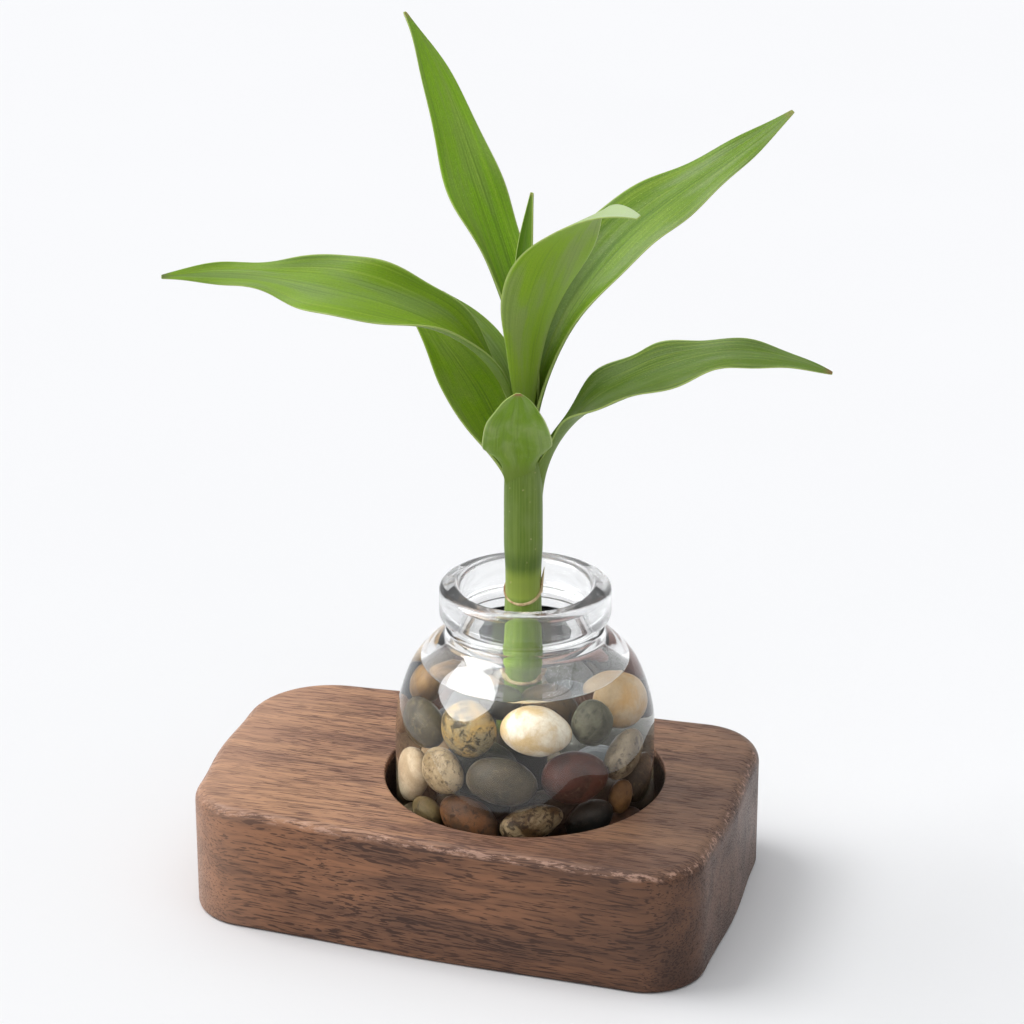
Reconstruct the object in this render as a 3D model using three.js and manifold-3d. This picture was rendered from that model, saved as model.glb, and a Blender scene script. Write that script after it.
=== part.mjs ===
// Lucky bamboo in a round glass jar of water and pebbles, standing in a wooden block.
// Millimetres, +Z up. The origin is on the underside of the block, at the middle of its plan,
// and +X runs along the block's long side. The jar group is turned so its own -Y faces the viewer.

import * as THREE from 'three';
import { mergeVertices } from 'three/addons/utils/BufferGeometryUtils.js';
import Module from 'manifold-3d';

// ---------------------------------------------------------------- driving dimensions

// wooden block
const BLOCK_HEIGHT = 35;
const BLOCK_TOP_ROUND = 4;
const BLOCK_FOOT_ROUND = 1.2;
// plan corners of the block, counter-clockwise from the front left: x, y, corner radius
const BLOCK_CORNERS = [
  [-70.4, -39.9, 15],
  [71.6, -47.4, 17],
  [72.4, 47.6, 18],
  [-73.4, 43.6, 24],
];
const BLOCK_SIDE_BOW = 1.2;
const POCKET_RADIUS = 38;
const POCKET_DEPTH = 22;

// jar
const JAR_CENTRE_X = 13.4;
const JAR_CENTRE_Y = 2.6;
const JAR_TURN = 15.5;
const REST_GAP = 0.3;
const JAR_FLOOR_Z = BLOCK_HEIGHT - POCKET_DEPTH + REST_GAP;
const JAR_BODY_RADIUS = 35;
const JAR_WALL = 2.6;
const JAR_NECK_RADIUS = 20.5;
const JAR_LIP_RADIUS = 23;
const JAR_MOUTH_RADIUS = 17.3;
const JAR_RIM_Z = 90.7;
const JAR_SIDES = 40;

// water
const WATER_LEVEL_Z = 67;
const WATER_BOTTOM_Z = 65.2;

// pebbles
const PEBBLE_GAP = 0.12;
const PEBBLE_TOP_Z = 64.8;
const PEBBLE_SEED = 20;
const HIDDEN_PEBBLES = 23;

// stem
const STEM_RADIUS = 4.9;
const STEM_CENTRE_X = -0.6;
const STEM_FOOT_Z = 25;
const STEM_SHOULDER_Z = 119;
const STEM_TOP_Z = 149;
const STEM_SIDES = 18;
const UPPER_SCAR_Z = 87.6;
const LOWER_SCAR_Z = 57.5;

// leaves
const LEAF_THICKNESS = 0.8;
const LEAF_STRIPS = 6;
const LEAF_GAP = 0.35;
const SPINE_STEPS = 240;

const RAD = Math.PI / 180;

// ---------------------------------------------------------------- small tools

const wasm = await Module();
wasm.setup();

// a repeatable stream of numbers from 0 to 1
function seededRandom(seed) {
  let state = seed >>> 0;
  return () => {
    state = (state + 0x6d2b79f5) >>> 0;
    let t = state;
    t = Math.imul(t ^ (t >>> 15), t | 1);
    t ^= t + Math.imul(t ^ (t >>> 7), t | 61);
    return ((t ^ (t >>> 14)) >>> 0) / 4294967296;
  };
}

function weld(geometry) {
  geometry.deleteAttribute('normal');
  geometry.deleteAttribute('uv');
  return mergeVertices(geometry, 1e-4);
}

function toSolid(geometry) {
  const welded = weld(geometry);
  const vertProperties = new Float32Array(welded.attributes.position.array);
  const triVerts = new Uint32Array(welded.index.array);
  return new wasm.Manifold(new wasm.Mesh({ numProp: 3, vertProperties, triVerts }));
}

function toGeometry(solid) {
  const mesh = solid.getMesh();
  const geometry = new THREE.BufferGeometry();
  geometry.setAttribute('position', new THREE.BufferAttribute(mesh.vertProperties, 3));
  geometry.setIndex(new THREE.BufferAttribute(mesh.triVerts, 1));
  return geometry;
}

function makeMesh(name, geometry, colour, roughness, metalness = 0) {
  const material = new THREE.MeshStandardMaterial({ color: colour, roughness, metalness });
  const flat = geometry.index ? geometry.toNonIndexed() : geometry;
  flat.computeVertexNormals();
  const mesh = new THREE.Mesh(flat, material);
  mesh.name = name;
  return mesh;
}

// a lathe about +Z from [radius, z] points that start and end on the axis or close on themselves
function lathe(points, sides = JAR_SIDES) {
  const profile = points.map(([radius, z]) => new THREE.Vector2(radius, z));
  const geometry = new THREE.LatheGeometry(profile, sides);
  geometry.rotateX(Math.PI / 2);
  return geometry;
}

// points of an arc in a [radius, z] profile, angles in degrees from the outward direction
function arc(centreR, centreZ, radius, fromDeg, toDeg, steps) {
  const points = [];
  for (let i = 0; i <= steps; i += 1) {
    const angle = (fromDeg + ((toDeg - fromDeg) * i) / steps) * RAD;
    points.push([centreR + radius * Math.cos(angle), centreZ + radius * Math.sin(angle)]);
  }
  return points;
}

// smooth curve through equally spaced knot values, s from 0 to 1
function knots(values, s) {
  const last = values.length - 1;
  const x = s * last;
  const i = Math.min(Math.max(Math.floor(x), 0), last - 1);
  const t = x - i;
  const p1 = values[i];
  const p2 = values[i + 1];
  const p0 = i > 0 ? values[i - 1] : 2 * p1 - p2;
  const p3 = i + 2 <= last ? values[i + 2] : 2 * p2 - p1;
  const linear = (p2 - p0) * t;
  const square = (2 * p0 - 5 * p1 + 4 * p2 - p3) * t * t;
  const cube = (3 * p1 - p0 - 3 * p2 + p3) * t * t * t;
  return 0.5 * (2 * p1 + linear + square + cube);
}

// ---------------------------------------------------------------- wooden block

// outline of the block at a height, pulled in by `inset`, with rounded corners and bowed sides
function blockOutline(inset, z) {
  const corners = BLOCK_CORNERS.map(([x, y, radius]) => ({ at: new THREE.Vector2(x, y), radius }));
  const points = [];
  const cornerSteps = 6;
  const sideSteps = 5;
  corners.forEach((corner, k) => {
    const before = corners[(k + 3) % 4].at;
    const after = corners[(k + 1) % 4].at;
    const inDirection = corner.at.clone().sub(before).normalize();
    const outDirection = after.clone().sub(corner.at).normalize();
    const turn = Math.acos(THREE.MathUtils.clamp(inDirection.dot(outDirection), -1, 1));
    const reach = corner.radius * Math.tan(turn / 2);
    const start = corner.at.clone().addScaledVector(inDirection, -reach);
    const leftNormal = new THREE.Vector2(-inDirection.y, inDirection.x);
    const centre = start.clone().addScaledVector(leftNormal, corner.radius);
    const startAngle = Math.atan2(start.y - centre.y, start.x - centre.x);
    const radius = corner.radius - inset;
    for (let i = 0; i <= cornerSteps; i += 1) {
      const angle = startAngle + (turn * i) / cornerSteps;
      const x = centre.x + radius * Math.cos(angle);
      const y = centre.y + radius * Math.sin(angle);
      points.push(new THREE.Vector3(x, y, z));
    }
    const next = corners[(k + 1) % 4];
    const afterNext = corners[(k + 2) % 4].at;
    const nextOut = afterNext.clone().sub(next.at).normalize();
    const nextTurn = Math.acos(THREE.MathUtils.clamp(outDirection.dot(nextOut), -1, 1));
    const nextReach = next.radius * Math.tan(nextTurn / 2);
    const sideStart = corner.at.clone().addScaledVector(outDirection, reach);
    const sideEnd = next.at.clone().addScaledVector(outDirection, -nextReach);
    const outward = new THREE.Vector2(outDirection.y, -outDirection.x);
    for (let i = 1; i < sideSteps; i += 1) {
      const t = i / sideSteps;
      const bow = BLOCK_SIDE_BOW * Math.sin(Math.PI * t) ** 2;
      const point = sideStart.clone().lerp(sideEnd, t).addScaledVector(outward, bow - inset);
      points.push(new THREE.Vector3(point.x, point.y, z));
    }
  });
  return points;
}

// rings of points joined into a closed body, each ring counter-clockwise seen from the last one
function loft(rings) {
  const count = rings[0].length;
  const positions = [];
  const indices = [];
  rings.forEach((ring) => ring.forEach((point) => positions.push(point.x, point.y, point.z)));
  for (let layer = 0; layer + 1 < rings.length; layer += 1) {
    for (let i = 0; i < count; i += 1) {
      const a = layer * count + i;
      const b = layer * count + ((i + 1) % count);
      indices.push(a, b, b + count);
      indices.push(a, b + count, a + count);
    }
  }
  const addCap = (ring, first, facesLast) => {
    const middle = new THREE.Vector3();
    ring.forEach((point) => middle.addScaledVector(point, 1 / count));
    const hub = positions.length / 3;
    positions.push(middle.x, middle.y, middle.z);
    for (let i = 0; i < count; i += 1) {
      const a = first + i;
      const b = first + ((i + 1) % count);
      indices.push(...(facesLast ? [hub, a, b] : [hub, b, a]));
    }
  };
  addCap(rings[0], 0, false);
  addCap(rings[rings.length - 1], (rings.length - 1) * count, true);
  const geometry = new THREE.BufferGeometry();
  geometry.setAttribute('position', new THREE.Float32BufferAttribute(positions, 3));
  geometry.setIndex(indices);
  return geometry;
}

function buildBlock() {
  const rings = [];
  const footSteps = 2;
  const topSteps = 4;
  for (let i = 0; i <= footSteps; i += 1) {
    const angle = (90 * RAD * i) / footSteps;
    const inset = BLOCK_FOOT_ROUND * (1 - Math.sin(angle));
    const z = BLOCK_FOOT_ROUND * (1 - Math.cos(angle));
    rings.push(blockOutline(inset, z));
  }
  for (let i = 0; i <= topSteps; i += 1) {
    const angle = (90 * RAD * i) / topSteps;
    const inset = BLOCK_TOP_ROUND * (1 - Math.cos(angle));
    const z = BLOCK_HEIGHT - BLOCK_TOP_ROUND * (1 - Math.sin(angle));
    rings.push(blockOutline(inset, z));
  }
  const body = toSolid(loft(rings));
  const pocketFloor = BLOCK_HEIGHT - POCKET_DEPTH;
  const pocketTop = BLOCK_HEIGHT + 1;
  const edgeBreak = 0.6;
  const pocketProfile = [
    [0, pocketFloor],
    [POCKET_RADIUS, pocketFloor],
    [POCKET_RADIUS, BLOCK_HEIGHT - edgeBreak],
    [POCKET_RADIUS + edgeBreak, BLOCK_HEIGHT],
    [POCKET_RADIUS + edgeBreak, pocketTop],
    [0, pocketTop],
  ];
  const pocket = toSolid(lathe(pocketProfile, 56)).translate([JAR_CENTRE_X, JAR_CENTRE_Y, 0]);
  return toGeometry(body.subtract(pocket));
}

// ---------------------------------------------------------------- jar and water

// outside of the jar from the middle of its foot up to the rim, as [radius, z]
const JAR_OUTSIDE = [
  [0, JAR_FLOOR_Z + 1],
  [26, JAR_FLOOR_Z + 1],
  [28, JAR_FLOOR_Z],
  [30.5, JAR_FLOOR_Z],
  ...arc(30.5, JAR_FLOOR_Z + 4.5, 4.5, -60, 0, 3),
  [JAR_BODY_RADIUS, 51.5],
  [34.6, 54.5],
  [33.4, 59.4],
  [31.4, 65.4],
  [29.0, 69.3],
  [26.2, 72.4],
  [23.2, 75.4],
  [21.2, 77.8],
  [JAR_NECK_RADIUS, 79.6],
  [21.3, 80.9],
  [22.5, 81.7],
  [JAR_LIP_RADIUS, 82.9],
  ...arc(JAR_LIP_RADIUS - 1.9, JAR_RIM_Z - 1.9, 1.9, 0, 90, 3),
];
// inside of the jar from the rim down to the middle of its floor
const JAR_INSIDE = [
  ...arc(JAR_MOUTH_RADIUS + 1.6, JAR_RIM_Z - 1.6, 1.6, 90, 180, 3),
  [JAR_MOUTH_RADIUS, 80.5],
  [18.0, 77.2],
  [20.4, 74.0],
  [23.6, 70.8],
  [26.5, 67.6],
  [28.8, 64.2],
  [30.8, 58.8],
  [32.0, 54.0],
  [JAR_BODY_RADIUS - JAR_WALL, 50.5],
  ...arc(JAR_BODY_RADIUS - JAR_WALL - 4, JAR_FLOOR_Z + 8.4, 4, 0, -90, 3),
  [0, JAR_FLOOR_Z + 4.4],
];
const JAR_INNER_FLOOR_Z = JAR_FLOOR_Z + 4.4;

// radius of the jar's inside at a height
function jarInsideRadius(z) {
  for (let i = 0; i + 1 < JAR_INSIDE.length; i += 1) {
    const [upperRadius, upperZ] = JAR_INSIDE[i];
    const [lowerRadius, lowerZ] = JAR_INSIDE[i + 1];
    if (z <= upperZ && z >= lowerZ && upperZ > lowerZ) {
      const t = (z - lowerZ) / (upperZ - lowerZ);
      return lowerRadius + (upperRadius - lowerRadius) * t;
    }
  }
  return 0;
}

function buildJar() {
  return lathe([...JAR_OUTSIDE, ...JAR_INSIDE]);
}

// the clear layer of water above the pebbles, with a plain hole where the stem stands
function buildWater() {
  const topRadius = jarInsideRadius(WATER_LEVEL_Z) - REST_GAP;
  const bottomRadius = jarInsideRadius(WATER_BOTTOM_Z) - REST_GAP;
  const holeRadius = STEM_RADIUS + REST_GAP;
  const layer = toSolid(lathe([
    [0, WATER_BOTTOM_Z],
    [bottomRadius, WATER_BOTTOM_Z],
    [topRadius, WATER_LEVEL_Z],
    [0, WATER_LEVEL_Z],
  ]));
  const hole = toSolid(lathe([
    [0, WATER_BOTTOM_Z - 1],
    [holeRadius, WATER_BOTTOM_Z - 1],
    [holeRadius, WATER_LEVEL_Z + 1],
    [0, WATER_LEVEL_Z + 1],
  ], 24));
  return toGeometry(layer.subtract(hole.translate([STEM_CENTRE_X, 0, 0])));
}

// ---------------------------------------------------------------- pebbles

// pebbles seen through the glass: name, angle round the jar from the front, distance behind
// the glass, height of the middle, width, height, thickness, tilt, colour
const SEEN_PEBBLES = [
  ['cream_ochre', -6, 0, 55.0, 18.5, 12.5, 11, -5, 0xe6dccb],
  ['speckled_ochre', -33, 0, 54.5, 15.5, 14.5, 11, 10, 0x8c7a5c],
  ['red_brown', 17, 0, 49.0, 17.5, 14.5, 11, -8, 0x7a4f43],
  ['grey_green', -13, 0, 44.5, 18.5, 13.5, 10, -9, 0x77786a],
  ['brown_orange', -31, 0, 37.0, 17, 13, 10.5, -22, 0x8a6544],
  ['cream_speckled', 11, 0, 39.0, 17, 9.5, 9, 16, 0xcabb9f],
  ['olive', -7, 0, 32.0, 13, 8, 9, 0, 0x6f6c58],
  ['pale_cream', -59, 0, 43.0, 11, 19, 9, -24, 0xd8cdb8],
  ['pale_speckled', -49, 1, 48.5, 13, 12.5, 9, -10, 0xbdb29c],
  ['dark_olive', -56, 0, 58.0, 15, 12, 10, -8, 0x545346],
  ['golden_brown', -70, 0, 61.0, 11, 9, 9, 30, 0x9a6d3c],
  ['tan_pink', -86, 0, 52.0, 10, 9, 8, 0, 0xa9826a],
  ['dark_gold', 13, 8, 58.5, 14, 10.5, 9, 0, 0x5a4a33],
  ['big_tan', 49, 0, 57.5, 18.5, 13, 10, -12, 0xb7956b],
  ['green_grey', 38, 0, 51.5, 11.5, 12, 9, 0, 0x83877a],
  ['cream_oval', 56, 0, 46.5, 14.5, 10.5, 9, 30, 0xc2b8a4],
  ['dark_green', 31, 0, 38.0, 13.5, 11, 9, 18, 0x3b4038],
  ['orange_tan', 48, 0, 36.5, 7, 9.5, 7, 0, 0xb98352],
  ['dark_grey', 72, 0, 39.0, 13, 14, 9, 0, 0x5e5c4c],
  ['yellow_green', -54, 0, 32.5, 10, 8.5, 8, 0, 0x93915f],
  ['slate', -22, 3, 61.0, 10, 6.5, 7, 0, 0x44464a],
  ['dusty_red', 135, 0, 57.0, 20, 9.5, 13, 0, 0x8d6259],
  ['back_tan', -140, 0, 58.0, 18, 9, 12, 0, 0xa58a68],
];
const HIDDEN_COLOURS = [
  0xa48a74, 0x8d8f86, 0xb5a68c, 0x6b5748, 0xcbbfa9, 0x74705c, 0x9b6f5a, 0x7f868a,
];

function pebbleAt(name, colour, position, turn, halfAxes, hold) {
  return { name, colour, position, turn, halfAxes, hold, home: position.clone() };
}

function seenPebble([name, angleDeg, behind, z, width, height, depth, tilt, colour]) {
  const angle = angleDeg * RAD;
  const reach = jarInsideRadius(z) - depth / 2 - 0.6 - behind;
  const position = new THREE.Vector3(reach * Math.sin(angle), -reach * Math.cos(angle), z);
  const aroundJar = new THREE.Quaternion().setFromAxisAngle(new THREE.Vector3(0, 0, 1), angle);
  const tilted = new THREE.Quaternion().setFromAxisAngle(new THREE.Vector3(0, 1, 0), -tilt * RAD);
  const turn = aroundJar.multiply(tilted);
  const halfAxes = new THREE.Vector3(width / 2, depth / 2, height / 2);
  return pebbleAt(name, colour, position, turn, halfAxes, 1);
}

// pebbles behind and under the seen ones: random place, size and turn inside the jar
function hiddenPebble(index, random) {
  const angle = (70 + 220 * random()) * RAD;
  const reach = 25 * Math.sqrt(random());
  const z = 24 + 34 * random();
  const position = new THREE.Vector3(reach * Math.sin(angle), -reach * Math.cos(angle), z);
  const euler = new THREE.Euler(0.5 * (random() - 0.5), 0.5 * (random() - 0.5), 6.28 * random());
  const turn = new THREE.Quaternion().setFromEuler(euler);
  const long = 7.4 + 1.8 * random();
  const halfAxes = new THREE.Vector3(long, 0.8 * long, (0.56 + 0.12 * random()) * long);
  const colour = HIDDEN_COLOURS[index % HIDDEN_COLOURS.length];
  return pebbleAt(`inner_${index + 1}`, colour, position, turn, halfAxes, 0);
}

// how far a pebble reaches from its middle along a direction
function reachAlong(pebble, direction) {
  const local = direction.clone().applyQuaternion(pebble.turn.clone().invert());
  return local.multiply(pebble.halfAxes).length();
}

// keeps a pebble inside the glass, above the floor, under the water and clear of the stem
function holdInside(pebble) {
  const up = new THREE.Vector3(0, 0, 1);
  const rise = reachAlong(pebble, up);
  pebble.position.z = Math.max(pebble.position.z, JAR_INNER_FLOOR_Z + rise + PEBBLE_GAP);
  pebble.position.z = Math.min(pebble.position.z, PEBBLE_TOP_Z - rise);
  const directions = 24;
  const bodyRadius = JAR_BODY_RADIUS - JAR_WALL;
  const nearFloor = pebble.position.z < JAR_INNER_FLOOR_Z + 8;
  const mostReach = nearFloor ? bodyRadius - 1.2 : bodyRadius - 0.1;
  const wall = Math.min(mostReach, jarInsideRadius(pebble.position.z + 0.6 * rise));
  for (let i = 0; i < directions; i += 1) {
    const angle = (2 * Math.PI * i) / directions;
    const out = new THREE.Vector3(Math.cos(angle), Math.sin(angle), 0);
    const excess = pebble.position.dot(out) + reachAlong(pebble, out) + PEBBLE_GAP - wall;
    if (excess > 0) {
      pebble.position.addScaledVector(out, -excess);
    }
  }
  const fromStem = pebble.position.clone();
  fromStem.x -= STEM_CENTRE_X;
  fromStem.z = 0;
  const distance = fromStem.length();
  const away = fromStem.divideScalar(Math.max(distance, 0.01));
  const clear = STEM_RADIUS + PEBBLE_GAP + 0.3 + reachAlong(pebble, away);
  if (distance < clear && pebble.position.z + rise > STEM_FOOT_Z - 1) {
    pebble.position.addScaledVector(away, clear - distance);
  }
}

// lets the pebbles settle without touching; the seen ones keep close to their own places
function settle(pebbles) {
  const rounds = 900;
  const direction = new THREE.Vector3();
  for (let round = 0; round < rounds; round += 1) {
    const late = round > rounds * 0.7;
    pebbles.forEach((pebble) => {
      if (pebble.hold) {
        pebble.position.lerp(pebble.home, late ? 0 : 0.12);
      } else if (!late) {
        pebble.position.z -= 0.08;
      }
    });
    for (let i = 0; i < pebbles.length; i += 1) {
      for (let j = i + 1; j < pebbles.length; j += 1) {
        direction.subVectors(pebbles[j].position, pebbles[i].position);
        const distance = direction.length();
        direction.divideScalar(Math.max(distance, 0.01));
        const need = reachAlong(pebbles[i], direction) + reachAlong(pebbles[j], direction);
        const push = need + PEBBLE_GAP - distance;
        if (push > 0) {
          const share = pebbles[i].hold === pebbles[j].hold ? 0.5 : 0.15 + 0.7 * pebbles[j].hold;
          pebbles[i].position.addScaledVector(direction, -push * share);
          pebbles[j].position.addScaledVector(direction, push * (1 - share));
        }
      }
    }
    pebbles.forEach(holdInside);
  }
}

// whether a pebble is clear of all others, of the stem and of the glass where it lies
function isClear(pebble, pebbles) {
  const place = pebble.position.clone();
  holdInside(pebble);
  const moved = place.distanceTo(pebble.position);
  pebble.position.copy(place);
  if (moved > 0.01) {
    return false;
  }
  return pebbles.every((other) => {
    const direction = other.position.clone().sub(place);
    const distance = direction.length();
    if (other === pebble || distance > 25) {
      return true;
    }
    direction.divideScalar(distance);
    return distance > reachAlong(pebble, direction) + reachAlong(other, direction) + PEBBLE_GAP;
  });
}

// lets each loose pebble sink straight down until it meets another one or the floor
function sink(pebbles) {
  const stepDown = 0.1;
  const mostSteps = 60;
  const loose = pebbles.filter((pebble) => !pebble.hold);
  loose.sort((one, other) => one.position.z - other.position.z);
  loose.forEach((pebble) => {
    for (let i = 0; i < mostSteps; i += 1) {
      pebble.position.z -= stepDown;
      if (!isClear(pebble, pebbles)) {
        pebble.position.z += stepDown;
        break;
      }
    }
  });
}

function pebbleGeometry(pebble, random) {
  const ball = weld(new THREE.IcosahedronGeometry(1, 1));
  const position = ball.attributes.position;
  const lean = 0.1 + 0.1 * random();
  const point = new THREE.Vector3();
  for (let i = 0; i < position.count; i += 1) {
    point.fromBufferAttribute(position, i);
    const slim = 1 - lean * Math.max(point.x, 0) ** 2;
    point.set(point.x, point.y * slim, point.z * slim);
    point.multiply(pebble.halfAxes);
    point.applyQuaternion(pebble.turn);
    point.add(pebble.position);
    position.setXYZ(i, point.x, point.y, point.z);
  }
  return ball;
}

function buildPebbles() {
  const random = seededRandom(PEBBLE_SEED);
  const pebbles = SEEN_PEBBLES.map(seenPebble);
  for (let i = 0; i < HIDDEN_PEBBLES; i += 1) {
    pebbles.push(hiddenPebble(i, random));
  }
  settle(pebbles);
  sink(pebbles);
  return pebbles.map((pebble) => {
    return makeMesh(`pebble_${pebble.name}`, pebbleGeometry(pebble, random), pebble.colour, 0.45);
  });
}

// ---------------------------------------------------------------- leaves

// Each leaf is a spine with a direction that changes along it and an arched cross-section.
// base is where the spine starts, azimuth 0 is to the right and -90 towards the viewer,
// width is the full width of the blade, curl is half the angle its cross-section bends through,
// wave is the height of the ripples along the margins. The share `neck` of the spine from its
// start is the sheath, which is part of the stem; the free blade starts there.
const LEAVES = {
  leaf_long_left: {
    colour: 0x6d9a3e,
    base: [-3.0, 0.7, 138.5],
    length: 110.9,
    azimuth: [172, 188, 155, 170],
    elevation: [75, 43.6, 21.9, 3.8, -3.9, -10.7],
    roll: [-21, 26, 41, 55],
    width: [3.4, 7.0, 18.7, 20.4, 19.9, 9.4, 6.3, 1],
    curl: [120, 55, 12, 5],
    wave: 0.5,
    waves: 3,
    neck: 0.1,
    sections: 20,
  },
  leaf_upper_left: {
    colour: 0x6a9a35,
    base: [-0.1, 1.5, 140],
    length: 109.2,
    azimuth: [117.4, 131.6, 124.4, 140.7],
    elevation: [87, 61.6, 59, 50.2],
    roll: [-11, -3.7, 16.4, -4.4],
    width: [7.8, 11.1, 16.3, 17.6, 13.1, 8.6, 1],
    curl: [112, 62, 17, 5],
    wave: 0.4,
    waves: 2.5,
    neck: 0.19,
    sections: 18,
  },
  leaf_upper_right: {
    colour: 0x719d4a,
    base: [1.3, 1.0, 135.9],
    length: 114.6,
    azimuth: [56.8, 38.3, 28.9, 26.4],
    elevation: [77, 44.7, 25.3, 30.7],
    roll: [-12.3, -31.5, -20, -35],
    width: [7.8, 11.9, 18.1, 20.6, 16.5, 9.1, 1],
    curl: [111.5, 71.4, 5.3, 8.4],
    wave: 0.5,
    waves: 3,
    neck: 0.2,
    sections: 20,
  },
  leaf_front_centre: {
    colour: 0x7fa452,
    base: [0.3, -2.4, 138.3],
    length: 91.4,
    azimuth: [-76.5, -61.6, -57.4, -46.6],
    elevation: [90, 67.7, 48.2, 5.7],
    roll: [-4.4, -2.7, -1.1, 1.7],
    width: [5.0, 12.7, 21.8, 22.2, 9.1, 2.2],
    curl: [78.8, 43.8, 4, 6.8],
    wave: 0.4,
    waves: 2,
    neck: 0.2,
    sections: 18,
  },
  leaf_lower_right: {
    colour: 0x6b9444,
    base: [4.0, 0.1, 118.3],
    length: 94.9,
    azimuth: [-4.4, -20.9, 1.7, -4.0],
    elevation: [82.5, 53.1, 30, 19.4, -7.4, -18.6],
    roll: [12, -20.8, -27.1, -30.2],
    width: [7.8, 9.0, 18.0, 18.4, 12.3, 6.9, 2.4],
    curl: [83.3, 48, 24.5, 11.5],
    wave: 0.4,
    waves: 3,
    neck: 0.14,
    sections: 18,
  },
  leaf_back_left: {
    colour: 0x6f9b3f,
    base: [-3.9, 1.3, 123.3],
    length: 54.4,
    azimuth: [140.7, 141.6, 148.2],
    elevation: [67.3, 46.4, 34.7],
    roll: [13.1, 21.0, 3.0],
    width: [9.4, 19.5, 18.5, 10.8, 2.6],
    curl: [53.4, 16.2, 7.2],
    wave: 0.2,
    waves: 1.5,
    neck: 0.12,
    sections: 12,
  },
  leaf_back_inner: {
    colour: 0x8caa6a,
    base: [-2.5, 2.9, 139.6],
    length: 37.3,
    azimuth: [129, 142, 146],
    elevation: [68, 43, 33],
    roll: [0, 6, 3],
    width: [6.2, 9.1, 10.6, 8.0, 0.9],
    curl: [59, 33, 10],
    wave: 0.1,
    waves: 1,
    neck: 0.28,
    sections: 10,
  },
  leaf_front_short: {
    colour: 0x7a9a5c,
    base: [-1.7, -4.4, 123.0],
    length: 48.7,
    azimuth: [-96, -91, -84],
    elevation: [65, 43, 41],
    roll: [-5, -3, 5],
    width: [10.1, 19.3, 16, 10.3, 1.6],
    curl: [56, 20, 14],
    wave: 0.2,
    waves: 1.5,
    neck: 0.08,
    sections: 12,
  },
  leaf_spear: {
    colour: 0x5f8a3c,
    base: [-1.2, -2.7, 151.9],
    length: 46.6,
    azimuth: [70, 60],
    elevation: [85, 79],
    roll: [6, 6],
    width: [3.0, 6.4, 5.8, 0.9],
    curl: [70, 59],
    wave: 0,
    waves: 1,
    neck: 0.14,
    sections: 8,
  },
};

// the spine's point and its three directions at `count` + 1 equal steps
function leafSpine(leaf, count) {
  const stations = [];
  const point = new THREE.Vector3(...leaf.base);
  const step = leaf.length / count;
  let last = null;
  for (let i = 0; i <= count; i += 1) {
    const s = i / count;
    const azimuth = knots(leaf.azimuth, s) * RAD;
    const elevation = knots(leaf.elevation, s) * RAD;
    const roll = knots(leaf.roll, s) * RAD;
    const flat = Math.cos(elevation);
    const along = new THREE.Vector3(flat * Math.cos(azimuth), flat * Math.sin(azimuth), 0);
    along.z = Math.sin(elevation);
    const level = new THREE.Vector3(Math.sin(azimuth), -Math.cos(azimuth), 0);
    const above = new THREE.Vector3().crossVectors(level, along);
    const side = level.clone().multiplyScalar(Math.cos(roll));
    side.addScaledVector(above, Math.sin(roll));
    const normal = above.clone().multiplyScalar(Math.cos(roll));
    normal.addScaledVector(level, -Math.sin(roll));
    if (last) {
      point.addScaledVector(last.clone().add(along).multiplyScalar(0.5), step);
    }
    last = along;
    stations.push({ s, at: point.clone(), side, normal });
  }
  return stations;
}

// a point of the arched cross-section, u from -1 at the left margin to 1 at the right one
function leafPoint(leaf, station, u, offset) {
  const { s, at, side, normal } = station;
  const half = Math.max(knots(leaf.width, s), 0.9) / 2;
  const bent = knots(leaf.curl, s) * RAD;
  const curl = Math.abs(bent) < 0.02 ? 0.02 : bent;
  const across = (half * Math.sin(curl * u)) / curl;
  let lift = (half * (1 - Math.cos(curl * u))) / curl;
  const ripple = Math.sin(2 * Math.PI * (leaf.waves * s + 0.23 * u));
  lift += leaf.wave * ripple * u * u * Math.max(Math.sin(Math.PI * s), 0) ** 0.7;
  const point = at.clone().addScaledVector(side, across).addScaledVector(normal, lift);
  point.addScaledVector(normal, offset * Math.cos(curl * u));
  point.addScaledVector(side, -offset * Math.sin(curl * u));
  return point;
}

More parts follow.
